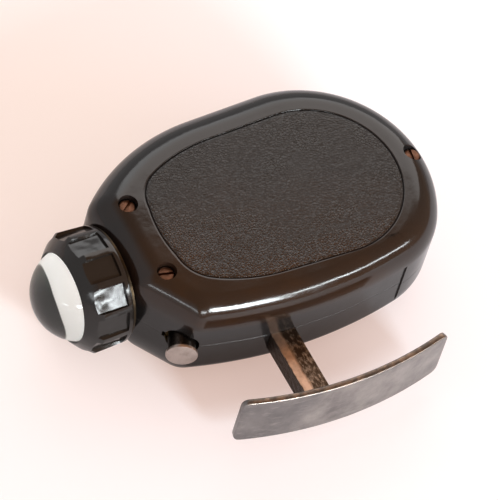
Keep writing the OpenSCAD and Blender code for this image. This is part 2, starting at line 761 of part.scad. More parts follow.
// One unbroken tube of round wire along a path, with flat ends.
module wire(path, r, sides) {
    n = len(path);
    dirs = [for (i = [0 : n - 1]) let (v = path[min(i + 1, n - 1)] - path[max(i - 1, 0)])
        v / norm(v)];
    points = [for (i = [0 : n - 1])
        let (d = dirs[i], u0 = cross(d, abs(d[2]) > 0.9 ? [1, 0, 0] : [0, 0, 1]),
             u = u0 / norm(u0), v = cross(d, u))
        each [for (k = [0 : sides - 1]) let (a = 360 * k / sides)
            path[i] + r * (u * cos(a) + v * sin(a))]];
    polyhedron(points = points, faces = concat(
        [[for (k = [0 : sides - 1]) k]],
        [[for (k = [sides - 1 : -1 : 0]) (n - 1) * sides + k]],
        [for (i = [0 : n - 2]) for (k = [0 : sides - 1]) let (k2 = (k + 1) % sides)
            each [[i * sides + k, (i + 1) * sides + k2, i * sides + k2],
                  [i * sides + k, (i + 1) * sides + k, (i + 1) * sides + k2]]]),
        convexity = 20);
}
// A coil along Y of radius r about the line x = 0, z = 0, from y0 to y1.
function coil_path(r, y0, y1, turns) = [for (i = [0 : 8 * turns]) let (t = i / (8 * turns),
    a = 360 * turns * t) [r * sin(a), y0 + t * (y1 - y0), -r * cos(a)]];
spring_y0 = pin_y + pin_r + 0.2;
spring_y1 = lug_y - 0.2;
spring_gap = (spring_y1 - spring_y0 - 2 * spring_hook) / spring_turns - 2 * spring_wire_r;
module return_spring() {
    echo("least gap between the return spring's turns", spring_gap);
    color("#9a9a98")
    translate([bar_x, 0, spring_z]) wire(concat([[0, spring_y0, 0]],
        coil_path(spring_r, spring_y0 + spring_hook, spring_y1 - spring_hook, spring_turns),
        [[0, spring_y1, 0]]), spring_wire_r, 6);
}

module spring_pin() {
    color("#9a9a98")
    union() {
        at_xy([bar_x, pin_y], low_top) cylinder(r = pin_r, h = spring_z + 1.4 - low_top, $fn = smooth);
        at_xy([bar_x, pin_y], low_top) cylinder(r = 2 * pin_r, h = 0.8, $fn = smooth);
    }
}

module bar_guide() {
    color("#6f6b66")
    difference() {
        translate([bar_l - guide_side, guide_y, low_top])
            cube([bar_w + 2 * guide_side, guide_len, bar_top + 2 - low_top]);
        translate([bar_l - fit, guide_y - 1, bar_low - fit])
            cube([bar_w + 2 * fit, guide_len + 2, bar_h + 2 * fit]);
        translate([bar_l, guide_y - 1, low_top + 2]) cube([bar_w, guide_len + 2, bar_low - low_top - 4]);
    }
}

// Two posts that the bar's lug rests against.
module bar_stop() {
    color("#6f6b66")
    translate([bar_x, lug_y - 0.3, low_top]) difference() {
        translate([-lug_w / 2, -1.6, 0]) cube([lug_w, 1.6, bar_low - low_top - 0.4]);
        translate([-spring_r - 2 * spring_wire_r, -2, 0.6])
            cube([2 * spring_r + 4 * spring_wire_r, 3, body_h]);
    }
}

module frame_plate(z) {
    difference() {
        translate([0, 0, z]) linear_extrude(height = frame_t) difference() {
            polygon(grown(frame_rows, 0));
            for (i = [0 : 2]) translate(cover_screws_xy[i])
                circle(r = boss_radii[i] + 0.6, $fn = smooth);
            for (p = pillars) translate(p) circle(r = stud_r + press_play, $fn = smooth);
            for (p = [drive_xy, middle_xy, rotor_xy])
                translate(p) circle(r = bush_r + press_play, $fn = smooth);
        }
        children();
    }
}
module lower_plate() {
    color("#77736d")
    frame_plate(frame_z) {
        for (p = frame_screws_xy)
            at_xy(p, 0) cylinder(r = frame_screw_r + seat_gap, h = mid_z, $fn = smooth);
    }
}
module upper_plate() {
    color("#77736d")
    frame_plate(high_low) {
        for (x = light_holes_x)
            at_xy([x, 0], high_low - 1) cylinder(r = light_hole_r, h = frame_t + 2, $fn = smooth);
    }
}

module frame_pillars() {
    color("#8d8a86")
    for (p = pillars)
        at_xy(p, 0) rotate_extrude($fn = smooth) polygon([
            [0, frame_z + 0.1], [stud_r, frame_z + 0.1], [stud_r, low_top], [pillar_r, low_top],
            [pillar_r, high_low], [stud_r, high_low], [stud_r, high_top + nut_h + 0.4],
            [0, high_top + nut_h + 0.4]]);
}

module pillar_nuts() {
    color("#a08a52")
    for (p = pillars)
        difference() {
            at_xy(p, high_top) cylinder(r = nut_r, h = nut_h, $fn = 6);
            at_xy(p, 0) cylinder(r = stud_r + press_play, h = body_h, $fn = smooth);
        }
}

module frame_screws() {
    color("#8d8a86")
    for (p = frame_screws_xy)
        difference() {
            at_xy(p, 0) rotate_extrude($fn = smooth) polygon([
                [0, 1.4], [frame_screw_r, 1.4], [frame_screw_r, low_top],
                [frame_screw_head_r, low_top], [frame_screw_head_r, low_top + 1.1],
                [0, low_top + 1.1]]);
            at_xy(p, low_top + 1.1) cube([4 * frame_screw_r, 0.5, 0.9], center = true);
        }
}

module core_spacers() {
    color("#a08a52")
    for (s = [-1, 1])
        at_xy([rotor_xy[0], s * (shoe_r + shoe_t / 2)], low_top)
            cylinder(r = spacer_r, h = core_z - low_top, $fn = smooth);
}

module bush(p, shaft_r, z0, z1, flange_z) {
    difference() {
        union() {
            at_xy(p, z0) cylinder(r = bush_r, h = z1 - z0, $fn = smooth);
            at_xy(p, flange_z) cylinder(r = bush_flange_r, h = bush_flange_t, $fn = smooth);
        }
        at_xy(p, z0 - 1) cylinder(r = shaft_r + fit, h = z1 - z0 + 2, $fn = smooth);
    }
}
module lower_bushes() {
    color("#a8824e")
    union() {
        bush(drive_xy, drive_shaft_r, frame_z, low_top + bush_flange_t, low_top);
        bush(middle_xy, thin_shaft_r, frame_z, low_top + bush_flange_t, low_top);
        bush(rotor_xy, thin_shaft_r, frame_z, low_top + bush_flange_t, low_top);
    }
}
module upper_bushes() {
    color("#a8824e")
    union() {
        bush(drive_xy, drive_shaft_r, high_low - bush_flange_t, high_top, high_low - bush_flange_t);
        bush(middle_xy, thin_shaft_r, high_low - bush_flange_t, high_top, high_low - bush_flange_t);
        bush(rotor_xy, thin_shaft_r, high_low - bush_flange_t, high_top, high_low - bush_flange_t);
    }
}

// Involute toothing. A tooth is as wide as half the pitch less its play.
function roll(a) = tan(a) * 180 / PI - a;
function tooth_half(r, pr, n) = let (rb = pr * cos(press_angle))
    90 / n - tooth_play / pr * 90 / PI + roll(press_angle) - roll(acos(rb / max(r, rb)));
function gear_rows(m, n, a0) =
    let (pr = m * n / 2, rf = pr - 1.25 * m, rb = pr * cos(press_angle),
         radii = concat(rb > rf ? [rf, rb] : [rf], [pr - 0.35 * m, pr, pr + 0.5 * m, pr + m]),
         last = len(radii) - 1)
    [for (i = [0 : n - 1]) each concat(
        [for (j = [0 : last]) let (r = radii[j], a = a0 + i * 360 / n - tooth_half(r, pr, n))
            [r * cos(a), r * sin(a)]],
        [for (j = [last : -1 : 0]) let (r = radii[j], a = a0 + i * 360 / n + tooth_half(r, pr, n))
            [r * cos(a), r * sin(a)]])];
module toothed(p, z, m, n, a0, h) {
    at_xy(p, z) linear_extrude(height = h) polygon(gear_rows(m, n, a0));
}
module shaft(p, r) {
    at_xy(p, shaft_z0) cylinder(r = r, h = shaft_z1 - shaft_z0, $fn = smooth);
    at_xy(p, collar_z) cylinder(r = collar_r, h = collar_h, $fn = smooth);
}

module drive_pinion() {
    color("#8d8a86")
    union() {
        shaft(drive_xy, drive_shaft_r);
        toothed(drive_xy, pinion_z, rack_m, pinion_n, 180, pinion_h);
    }
}

// Three ramps hold the rollers: driven one way they wedge, the other way they run free.
module clutch_hub() {
    ramp_a = 7;
    color("#7c7974")
    difference() {
        at_xy(drive_xy, hub_z) cylinder(r = hub_r, h = hub_h, $fn = smooth);
        for (i = [0 : 2])
            at_xy(drive_xy, hub_z + hub_flange_t) rotate([0, 0, 120 * i + 60])
            translate([roller_c - roller_r - roller_play, 0, 0]) rotate([0, 0, ramp_a])
            translate([0, -roller_r - 0.2, 0]) cube([2 * roller_r + 1, 4 * roller_r, hub_h]);
        at_xy(drive_xy, hub_z - 1) cylinder(r = drive_shaft_r + press_play, h = hub_h + 2, $fn = smooth);
    }
}

module clutch_rollers() {
    color("#b5b3ae")
    for (i = [0 : 2])
        at_xy(drive_xy, hub_z + hub_flange_t + seat_gap) rotate([0, 0, 120 * i + 60])
        translate([roller_c, 0, 0]) cylinder(r = roller_r, h = roller_h, $fn = smooth);
}

module drive_gear() {
    color("#a8824e")
    difference() {
        toothed(drive_xy, cup_z, drive_m, gear_n, drive_mesh_a, cup_h + web_t);
        at_xy(drive_xy, cup_z - 1) cylinder(r = race_r, h = cup_h + 1, $fn = smooth);
        at_xy(drive_xy, cup_z - 1)
            cylinder(r = drive_shaft_r + fit, h = cup_h + web_t + 2, $fn = smooth);
    }
}

module middle_pinion() {
    color("#8d8a86")
    union() {
        shaft(middle_xy, thin_shaft_r);
        toothed(middle_xy, cup_z, drive_m, pinion_n, drive_mesh_a + 180 + half_pitch_a,
            cup_h + web_t);
    }
}

module middle_gear() {
    color("#a8824e")
    difference() {
        toothed(middle_xy, middle_gear_z, middle_m, gear_n, middle_mesh_a, middle_gear_h);
        at_xy(middle_xy, middle_gear_z - 1)
            cylinder(r = thin_shaft_r + press_play, h = middle_gear_h + 2, $fn = smooth);
        for (i = [0 : 4])
            at_xy(middle_xy, middle_gear_z - 1) rotate([0, 0, 72 * i]) translate([5.6, 0, 0])
            cylinder(r = 1.9, h = middle_gear_h + 2, $fn = smooth);
    }
}

module rotor_shaft() {
    color("#8d8a86")
    union() {
        shaft(rotor_xy, thin_shaft_r);
        toothed(rotor_xy, middle_gear_z - 0.2, middle_m, pinion_n,
            middle_mesh_a + 180 + half_pitch_a, rotor_pinion_h);
    }
}

module rotor_magnet() {
    color("#55524e")
    difference() {
        at_xy(rotor_xy, magnet_z) cylinder(r = magnet_r, h = magnet_h, $fn = smooth);
        at_xy(rotor_xy, magnet_z - 1)
            cylinder(r = thin_shaft_r + press_play, h = magnet_h + 2, $fn = smooth);
    }
}

// Two pole shoes round the magnet, joined through the coil by a bar along Y.
module stator_core() {
    color("#66625d")
    at_xy([0, 0], core_z) linear_extrude(height = core_h) union() {
        for (s = [-1, 1]) {
            intersection() {
                translate(rotor_xy) difference() {
                    circle(r = shoe_r + shoe_t, $fn = smooth);
                    circle(r = shoe_r, $fn = smooth);
                }
                translate(rotor_xy) polygon([[0, 0],
                    3 * shoe_r * [-cos(shoe_tip_a), s * sin(shoe_tip_a)],
                    3 * shoe_r * [cos(shoe_back_a), s * sin(shoe_back_a)]]);
            }
            translate([rotor_xy[0], s > 0 ? shoe_r : -shoe_r - shoe_t])
                square([coil_x + core_w / 2 - rotor_xy[0], shoe_t]);
        }
        translate([coil_x - core_w / 2, -shoe_r - shoe_t]) square([core_w, 2 * shoe_r + 2 * shoe_t]);
    }
}

// A box along Y about the coil's axis with rounded long edges.
module coil_block(grow, y0, y1, r) {
    w = core_w + 2 * grow;
    h = core_h + 2 * grow;
    translate([coil_x, y1, core_z + core_h / 2]) rotate([90, 0, 0])
    linear_extrude(height = y1 - y0) union() {
        square([w - 2 * r, h], center = true);
        square([w, h - 2 * r], center = true);
        for (x = [r - w / 2, w / 2 - r])
            for (z = [r - h / 2, h / 2 - r])
                translate([x, z]) circle(r = r, $fn = smooth);
    }
}
module coil_bobbin() {
    color("#4a2f22")
    difference() {
        union() {
            coil_block(press_play + bobbin_t, -bobbin_half, bobbin_half, 0.6);
            coil_block(bobbin_t + coil_t + 0.2, -bobbin_half, 1 - bobbin_half, 2);
            coil_block(bobbin_t + coil_t + 0.2, bobbin_half - 1, bobbin_half, 2);
        }
        translate([coil_x - core_w / 2 - press_play, -bobbin_half - 1, core_z - press_play])
            cube([core_w + 2 * press_play, 2 * bobbin_half + 2, core_h + 2 * press_play]);
    }
}
module coil_winding() {
    color("#9c5a2c")
    difference() {
        coil_block(bobbin_t + coil_t, 1.1 - bobbin_half, bobbin_half - 1.1, 2);
        coil_block(bobbin_t + 2 * press_play, -bobbin_half, bobbin_half, 0.62);
    }
}

module push_button() {
    color("#b9b7b2")
    union() {
        button_turn(0) rotate_extrude($fn = smooth) polygon([
            [0, 0], [button_r - 0.3, 0], [button_r, 0.3], [button_r, button_t],
            [button_neck_r, button_t], [button_neck_r, neck_end_s], [stem_r, neck_end_s],
            [stem_r, neck_end_s + stem_len], [0, neck_end_s + stem_len]]);
        button_turn(button_guide_s + button_guide_l + 0.3)
            cylinder(r = clip_r, h = clip_t, $fn = smooth);
    }
}

module button_guide() {
    color("#a8824e")
    difference() {
        button_turn(button_guide_s) cylinder(r = button_guide_r, h = button_guide_l, $fn = smooth);
        button_turn(button_guide_s - 1) cylinder(r = button_neck_r + fit,
            h = button_guide_l + 1 - button_guide_end, $fn = smooth);
        button_turn(button_guide_s) cylinder(r = stem_r + fit, h = button_guide_l + 1, $fn = smooth);
    }
}

button_wire_r = 0.25;
module button_spring() {
    s0 = neck_end_s + 2 * button_wire_r;
    s1 = button_guide_s + button_guide_l - button_guide_end - 2 * button_wire_r;
    color("#9a9a98")
    translate(button_face) rotate([0, 0, button_angle - 90])
        wire(coil_path(stem_r + 1, s0, s1, 3), button_wire_r, 6);
}

lower_shell();
upper_shell();
cover_screws();
threaded_inserts();
lamp_neck();
lens_cap();
lens();
lens_seal();
reflector();
bulb_glass();
bulb_base();
bulb_holder();
contact_strip();
grip_plate();
rack_bar();
return_spring();
spring_pin();
bar_guide();
bar_stop();
lower_plate();
upper_plate();
frame_pillars();
pillar_nuts();
frame_screws();
core_spacers();
lower_bushes();
upper_bushes();
drive_pinion();
clutch_hub();
clutch_rollers();
drive_gear();
middle_pinion();
middle_gear();
rotor_shaft();
rotor_magnet();
stator_core();
coil_bobbin();
coil_winding();
push_button();
button_guide();
button_spring();
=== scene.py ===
# %% [markdown]
# # A hand dynamo flashlight
# A black moulded torch that lies on its flat base. Squeezing the steel grip plate pushes a rack bar
# into the housing and spins a small dynamo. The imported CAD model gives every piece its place. This
# lesson puts smooth surfaces and worn finishes round it, so it starts by loading that frame and
# noting the size that nothing may leave.

# %% Load the frame
import json
import math

import bmesh
import bpy
import numpy as np
from mathutils import Matrix, Vector


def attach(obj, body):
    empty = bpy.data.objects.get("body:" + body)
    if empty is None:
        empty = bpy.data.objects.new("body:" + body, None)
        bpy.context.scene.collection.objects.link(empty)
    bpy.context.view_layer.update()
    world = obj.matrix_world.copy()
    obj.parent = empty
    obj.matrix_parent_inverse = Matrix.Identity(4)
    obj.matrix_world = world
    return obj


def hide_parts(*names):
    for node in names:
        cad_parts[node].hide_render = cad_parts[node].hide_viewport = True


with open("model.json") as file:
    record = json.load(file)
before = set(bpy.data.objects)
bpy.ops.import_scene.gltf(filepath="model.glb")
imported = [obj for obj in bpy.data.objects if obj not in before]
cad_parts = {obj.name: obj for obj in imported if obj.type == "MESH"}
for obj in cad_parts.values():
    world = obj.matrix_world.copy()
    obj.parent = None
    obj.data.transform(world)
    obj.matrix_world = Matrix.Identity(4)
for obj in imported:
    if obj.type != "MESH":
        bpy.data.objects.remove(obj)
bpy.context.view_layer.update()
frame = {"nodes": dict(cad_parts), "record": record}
nodes = frame["nodes"]
MM = 0.001

# %% [markdown]
# ## The camera
# The photograph was taken from far away with a long lens, so parallel edges stay nearly parallel.
# A camera is a matrix: its columns are the directions to its right, to its top and backwards, and
# its last column is its place. Those came from fitting the torch's edges in the photograph. Rounded
# numbers leave the three directions slightly off square, and the singular value decomposition
# gives the nearest true rotation.

# %% Place the camera
CAMERA_PLACE = (-0.5743, -0.6385, 1.1779)
CAMERA_RIGHT = (0.8709, -0.4574, 0.1799)
CAMERA_UP = (0.2892, 0.7727, 0.5651)
CAMERA_BACK = (-0.3975, -0.4401, 0.8052)
camera_data = bpy.data.cameras.new("photo_camera")
camera_data.sensor_width = 36.0
camera_data.lens = 363.2
camera_data.clip_end = 20.0
camera = bpy.data.objects.new("photo_camera", camera_data)
columns = np.array([CAMERA_RIGHT, CAMERA_UP, CAMERA_BACK]).T
turn, _, other = np.linalg.svd(columns)
pose = np.eye(4)
pose[:3, :3] = turn @ other
pose[:3, 3] = CAMERA_PLACE
camera.matrix_world = Matrix(pose.tolist())
bpy.context.scene.collection.objects.link(camera)
bpy.context.scene.camera = camera
print("camera lens:", camera_data.lens, "mm")

# %% [markdown]
# ## Shader sums in Python
# A finish is a tree of nodes. Wiring sums by hand is slow to read, so a small class wraps an output
# socket and turns Python's + - * / on it into Math nodes. One method adds any other node. A second
# class holds a material with its main shader.

# %% A socket that can be added and multiplied
class Value:
    """One output socket. Sums with numbers or other Values add Math nodes to its tree."""

    def __init__(self, tree, socket):
        self.tree = tree
        self.socket = socket

    def math(self, operation, first, second=0.0, clamp=False):
        return self.tree.node("ShaderNodeMath", {"operation": operation, "use_clamp": clamp},
                              places=(first, second))

    def __add__(self, other):
        return self.math("ADD", self, other)

    def __sub__(self, other):
        return self.math("SUBTRACT", self, other)

    def __rsub__(self, other):
        return self.math("SUBTRACT", other, self)

    def __mul__(self, other):
        return self.math("MULTIPLY", self, other)

    def __truediv__(self, other):
        return self.math("DIVIDE", self, other)

    __radd__ = __add__
    __rmul__ = __mul__

    def root(self):
        return self.math("SQRT", self)

    def clamped(self):
        return self.math("ADD", self, 0.0, clamp=True)

    def between(self, low, high):
        """0 below low, 1 above high, a straight ramp in between."""
        return ((self - low) / (high - low)).clamped()


class Tree:
    """The nodes of a material or a world. node() adds any node and returns one of its outputs."""

    def __init__(self, owner):
        owner.use_nodes = True
        self.tree = owner.node_tree

    def node(self, kind, settings=None, out=0, places=(), **values):
        """settings are the node's own properties. places feeds its inputs in their order, and
        values feeds them by name, with _ for each space."""
        node = self.tree.nodes.new(kind)
        for key, value in (settings or {}).items():
            setattr(node, key, value)
        for socket, value in zip(node.inputs, places):
            self.join(socket, value)
        for key, value in values.items():
            self.join(node.inputs[key.replace("_", " ")], value)
        return Value(self, node.outputs[out])

    def join(self, socket, value):
        if isinstance(value, Value):
            self.tree.links.new(value.socket, socket)
        elif isinstance(value, tuple) and len(value) == 3 and socket.type == "RGBA":
            socket.default_value = (*value, 1.0)
        else:
            socket.default_value = value

    def mix(self, amount, low, high):
        """A colour that goes from low to high as amount goes from 0 to 1."""
        node = self.tree.nodes.new("ShaderNodeMix")
        node.data_type = "RGBA"
        self.join(node.inputs["Factor"], amount)
        for socket, value in zip([s for s in node.inputs if s.type == "RGBA"], (low, high)):
            self.join(socket, value)
        return Value(self, next(s for s in node.outputs if s.type == "RGBA"))

    def along(self, vector, way):
        """How far a vector reaches in the direction way."""
        return self.node("ShaderNodeVectorMath", {"operation": "DOT_PRODUCT"}, "Value",
                         (vector, way))


class Finish(Tree):
    """A material with one Principled shader. Its patterns are placed by the object's own
    coordinates, so they ride along with a moving piece."""

    def __init__(self, name, **values):
        self.material = bpy.data.materials.new(name)
        super().__init__(self.material)
        self.shader = self.tree.nodes["Principled BSDF"]
        self.place = self.node("ShaderNodeTexCoord", out="Object")
        self.feed(**values)

    def feed(self, **values):
        """Sets or links the shader's inputs by name, with _ for each space."""
        for name, value in values.items():
            self.join(self.shader.inputs[name.replace("_", " ")], value)

    def noise(self, size, detail=4.0, roughness=0.55, vector=None):
        """Cloudy noise whose blotches are about size metres across, from 0 to 1."""
        return self.node("ShaderNodeTexNoise", Vector=vector or self.place, Scale=1.0 / size,
                         Detail=detail, Roughness=roughness)

    def stretched(self, scale):
        """The object's own place, with each axis multiplied, for streaks."""
        return self.node("ShaderNodeMapping", Vector=self.place, Scale=scale)

    def bumped(self, height, depth):
        """Raises the surface by height, which goes from 0 to 1, times depth metres."""
        self.feed(Normal=self.node("ShaderNodeBump", out="Normal", Height=height,
                                   Strength=1.0, Distance=depth))
        return self


print("shader helpers ready")

# %% [markdown]
# ## Surfaces from rings
# Almost every piece here is a stack of rings with the same number of points: the housing's rings
# are ovals, a turned piece's rings are circles. One function closes such a stack into a mesh. The
# first and the last ring may be a single point, which closes the pole without a hole.

# %% Rings to a closed mesh
def add_piece(name, points, faces, body, finish, sharp=35.0):
    """A mesh object that rides on a body. Edges that turn by more than sharp degrees stay crisp."""
    mesh = bpy.data.meshes.new(name)
    mesh.from_pydata(points.tolist(), [], faces)
    mesh.update()
    piece = bpy.data.objects.new(name, mesh)
    bpy.context.scene.collection.objects.link(piece)
    shade(piece, sharp)
    if finish:
        mesh.materials.append(finish.material)
    if body:
        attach(piece, body)
    return piece


def shade(piece, sharp):
    """Smooth shading with crisp edges, and normals turned outwards."""
    form = bmesh.new()
    form.from_mesh(piece.data)
    bmesh.ops.recalc_face_normals(form, faces=form.faces)
    for face in form.faces:
        face.smooth = True
    limit = math.radians(sharp)
    for edge in form.edges:
        edge.smooth = len(edge.link_faces) == 2 and edge.calc_face_angle(0.0) < limit
    form.to_mesh(piece.data)
    form.free()


def stack(rings):
    """Points and faces of a closed skin through rings, an array of shape (rings, points, 3).
    A ring whose points all coincide becomes one pole point."""
    rings = np.asarray(rings, float)
    count = rings.shape[1]
    starts, points, total = [], [], 0
    for ring in rings:
        pole = np.ptp(ring, axis=0).max() < 1e-9
        block = ring[:1] if pole else ring
        starts.append((total, pole))
        points.append(block)
        total += len(block)
    k = np.arange(count)
    after = (k + 1) % count
    faces = []
    for (a, a_pole), (b, b_pole) in zip(starts[:-1], starts[1:]):
        if a_pole and b_pole:
            continue
        if a_pole:
            quads = np.stack([np.full(count, a), b + after, b + k], 1)
        elif b_pole:
            quads = np.stack([a + k, a + after, np.full(count, b)], 1)
        else:
            quads = np.stack([a + k, a + after, b + after, b + k], 1)
        faces += quads.tolist()
    return np.vstack(points), faces


def turned(profile, start, axis, side, count=96):
    """Rings of a turned piece: each (radius, height) row of profile becomes a circle of that
    radius, height along axis from start. side is any direction square to the axis."""
    profile = np.asarray(profile, float)
    axis, side = np.asarray(axis, float), np.asarray(side, float)
    axis /= np.linalg.norm(axis)
    side -= axis * (side @ axis)
    side /= np.linalg.norm(side)
    other = np.cross(axis, side)
    a = np.linspace(0, 2 * np.pi, count, endpoint=False)
    round_way = np.cos(a)[:, None] * side + np.sin(a)[:, None] * other
    return (np.asarray(start) + profile[:, 1, None, None] * axis
            + profile[:, 0, None, None] * round_way) * MM


def carve(piece, cutters, operation="DIFFERENCE", sharp=35.0):
    """Cuts closed meshes out of a piece, or adds them to it, and keeps the result as its mesh."""
    for cutter in cutters:
        step = piece.modifiers.new("cut", "BOOLEAN")
        step.operation = operation
        step.solver = "EXACT"
        step.object = cutter
        view = bpy.context.evaluated_depsgraph_get()
        made = bpy.data.meshes.new_from_object(piece.evaluated_get(view))
        piece.modifiers.clear()
        old = piece.data
        piece.data = made
        made.name = old.name
        bpy.data.meshes.remove(old)
        bpy.data.objects.remove(cutter)
    shade(piece, sharp)
    return piece


def cutter(profile, start, axis, side, count=96):
    """A closed turned mesh that is only used to cut."""
    points, faces = stack(turned(profile, start, axis, side, count))
    return add_piece("cutter", points, faces, None, None)


def post(radius, low, high):
    """The profile of a plain solid cylinder, closed at both ends."""
    return [(0, low), (radius, low), (radius, high), (0, high)]


print("surface helpers ready")

# %% [markdown]
# ## The housing's outline
# The housing is two moulded shells that meet in a level plane, rounded all over so that it sits
# well in the hand. Seen from above it is a chain of arcs: a round tail, a long far side, a small
# corner, a flat front, a slanted face for the button, and a flatter side behind the grip plate.
# Arcs that touch have their centres on one line with the point where they meet, which gives each
# centre by Pythagoras. The sizes are the CAD's, but the corner beside the button is rounder, as in
# the photograph. The flat top and bottom have the same chain further in, so equal counts of points
# pair up and a quarter ellipse joins each pair.

# %% The chain of arcs
TAIL, GRIP = np.array([19.1, 0.0]), np.array([3.8, 106.2])
TAIL_R, SIDE_R, GRIP_R = 36.67, 60.0, 140.0
FRONT_X, SIDE_RUN, SLOPE = -45.2, 22.7, 2.2
SLANT_D, SLANT_ANGLE = 43.7, 214.5
SEAT_END = 34.4
HALF, THICK = 18.0, 2.5


def unit(angle):
    """The direction at an angle in degrees."""
    return np.array([math.cos(math.radians(angle)), math.sin(math.radians(angle))])


def on(centre, radius, angle):
    """The point of a circle at an angle."""
    return centre + radius * unit(angle)


def angle_of(v):
    return math.degrees(math.atan2(v[1], v[0])) % 360


def arc(centre, radius, start, end, count):
    """Rows of x, y and the outward direction along an arc. The last point is left to the next."""
    a = np.radians(np.linspace(start, end, count, endpoint=False))
    out = np.stack([np.cos(a), np.sin(a)], 1)
    return np.hstack([centre + radius * out, out])


def straight(start, end, angle, count):
    """The same rows along a straight line that faces angle."""
    t = np.linspace(0, 1, count, endpoint=False)[:, None]
    return np.hstack([start + t * (np.asarray(end) - start), np.repeat([unit(angle)], count, 0)])


def far_side(tail_r, side_r, front_x, corner_r):
    """The centres of the far side's arc and of the far corner's, and the angle where they meet.
    The side leaves the tail's arc by a straight run, and the corner touches side and front."""
    side = on(TAIL, tail_r - side_r, 90 + SLOPE) - SIDE_RUN * unit(SLOPE)
    dx = front_x + corner_r - side[0]
    corner = np.array([front_x + corner_r,
                       side[1] + math.sqrt((side_r - corner_r) ** 2 - dx * dx)])
    return side, corner, angle_of(corner - side)


SLANT = unit(SLANT_ANGLE)


def outline(far, near, slant, corner_r, front_r, slant_r, blend_r):
    """The housing's outline in millimetres, moved in by far, by near behind the grip plate and
    by slant on the slanted face. The last four are the radii of the corners between its sides."""
    tail_r, side_r, front_x = TAIL_R - far, SIDE_R - far, FRONT_X + far
    grip_r, slant_d = GRIP_R - near, SLANT_D - slant
    side, corner, corner_a = far_side(tail_r, side_r, front_x, corner_r)
    front = np.array([front_x + front_r,
                      (slant_d - front_r - SLANT[0] * (front_x + front_r)) / SLANT[1]])
    h = slant_d - slant_r - SLANT @ GRIP
    t = math.sqrt((grip_r - slant_r) ** 2 - h * h)
    near_corner = GRIP + h * SLANT + t * np.array([-SLANT[1], SLANT[0]])
    near_a = angle_of(near_corner - GRIP)
    way = GRIP - TAIL
    d = np.linalg.norm(way)
    u = way / d
    along = ((tail_r - blend_r) ** 2 - (grip_r - blend_r) ** 2 + d * d) / (2 * d)
    off = math.sqrt((tail_r - blend_r) ** 2 - along * along)
    blend = TAIL + along * u - off * np.array([-u[1], u[0]])
    step_a = -math.degrees(math.acos((SEAT_END - GRIP[0]) / GRIP_R)) % 360
    grip_end, tail_start = angle_of(blend - GRIP), angle_of(blend - TAIL)
    return np.vstack([
        arc(TAIL, tail_r, 0, 90 + SLOPE, 54),
        straight(on(TAIL, tail_r, 90 + SLOPE), on(side, side_r, 90 + SLOPE), 90 + SLOPE, 12),
        arc(side, side_r, 90 + SLOPE, corner_a, 30),
        arc(corner, corner_r, corner_a, 180, 18),
        straight(on(corner, corner_r, 180), on(front, front_r, 180), 180, 14),
        arc(front, front_r, 180, SLANT_ANGLE, 12),
        straight(on(front, front_r, SLANT_ANGLE), on(near_corner, slant_r, SLANT_ANGLE),
                 SLANT_ANGLE, 10),
        arc(near_corner, slant_r, SLANT_ANGLE, near_a, 10),
        arc(GRIP, grip_r, near_a, step_a, 60),
        arc(GRIP, grip_r, step_a, step_a + 0.02, 1),
        arc(GRIP, grip_r, step_a + 0.02, grip_end, 2),
        arc(blend, blend_r, grip_end, tail_start, 24),
        arc(TAIL, tail_r, tail_start, 360, 20)])


wall_line = outline(0, 0, 0, 7, 6, 4.5, 25)
inner_line = outline(THICK, THICK, THICK, 4.5, 3.5, 1, 22.5)
top_line = outline(9.2, 6.6, 6.6, 2.5, 4, 7, 18)
base_line = outline(9.2, 12, 6, 2.5, 2, 1, 14)
print("outline points:", len(wall_line))

# %% [markdown]
# ## The panel on top
# A groove runs round a grained panel, and the mould gave the top both. The panel's outline is
# another chain of arcs, mirrored about the long axis. The housing's rings run on into it, so each
# housing point needs the panel point in the same direction from the middle. Interpolating radius
# over angle gives that.

# %% The panel's outline and the shells
def panel_outline(grow):
    """The panel's outline grown by grow millimetres, as radius over angle about the middle."""
    tail_r, side_r, corner_r, front_x = 25.0, 48.0, 12.0, -31.0
    side, corner, corner_a = far_side(tail_r, side_r, front_x, corner_r)
    half = np.vstack([
        arc(TAIL, tail_r + grow, 0, 90 + SLOPE, 60),
        straight(on(TAIL, tail_r + grow, 90 + SLOPE), on(side, side_r + grow, 90 + SLOPE),
                 90 + SLOPE, 12),
        arc(side, side_r + grow, 90 + SLOPE, corner_a, 40),
        arc(corner, corner_r + grow, corner_a, 180, 30)])[:, :2]
    return np.vstack([half, (half * [1, -1])[:0:-1]])


MIDDLE = np.array([6.0, 0.0])


def towards(line, outline_points):
    """The point of a closed outline in the direction of each point of line, seen from MIDDLE."""
    rel = outline_points - MIDDLE
    angle = np.unwrap(np.arctan2(rel[:, 1], rel[:, 0]))
    radius = np.hypot(*rel.T)
    angle = np.concatenate([angle - 2 * np.pi, angle, angle + 2 * np.pi])
    radius = np.tile(radius, 3)
    want = line[:, :2] - MIDDLE
    a = np.arctan2(want[:, 1], want[:, 0])
    r = np.interp(a, angle, radius)
    return MIDDLE + np.stack([np.cos(a), np.sin(a)], 1) * r[:, None]


TOP_EDGE, BASE_EDGE = 9.4, 12.0
SEAT_R, SEAT_RISE, SEAT_RUN = 139.2, 0.4, 8.0
GROOVE_W, GROOVE_D, DOME = 0.30, 0.40, 0.15
GRAIN_INSET, TOP_ONLY = 0.25, 30


def seated(points):
    """Pushes points behind the grip plate back onto the arc of its seat, 0.8 mm deep. The seat
    runs out to half that depth over the last SEAT_RUN millimetres."""
    rel = points - GRIP
    distance = np.hypot(*rel.T)
    radius = SEAT_R + SEAT_RISE * np.clip((points[:, 0] - SEAT_END) / SEAT_RUN + 1, 0, 1)
    inside = (distance > radius) & (points[:, 1] < 0) & (points[:, 0] < SEAT_END + 1e-6)
    moved = GRIP + rel * (radius / np.maximum(distance, 1e-6))[:, None]
    return np.where(inside[:, None], moved, points)


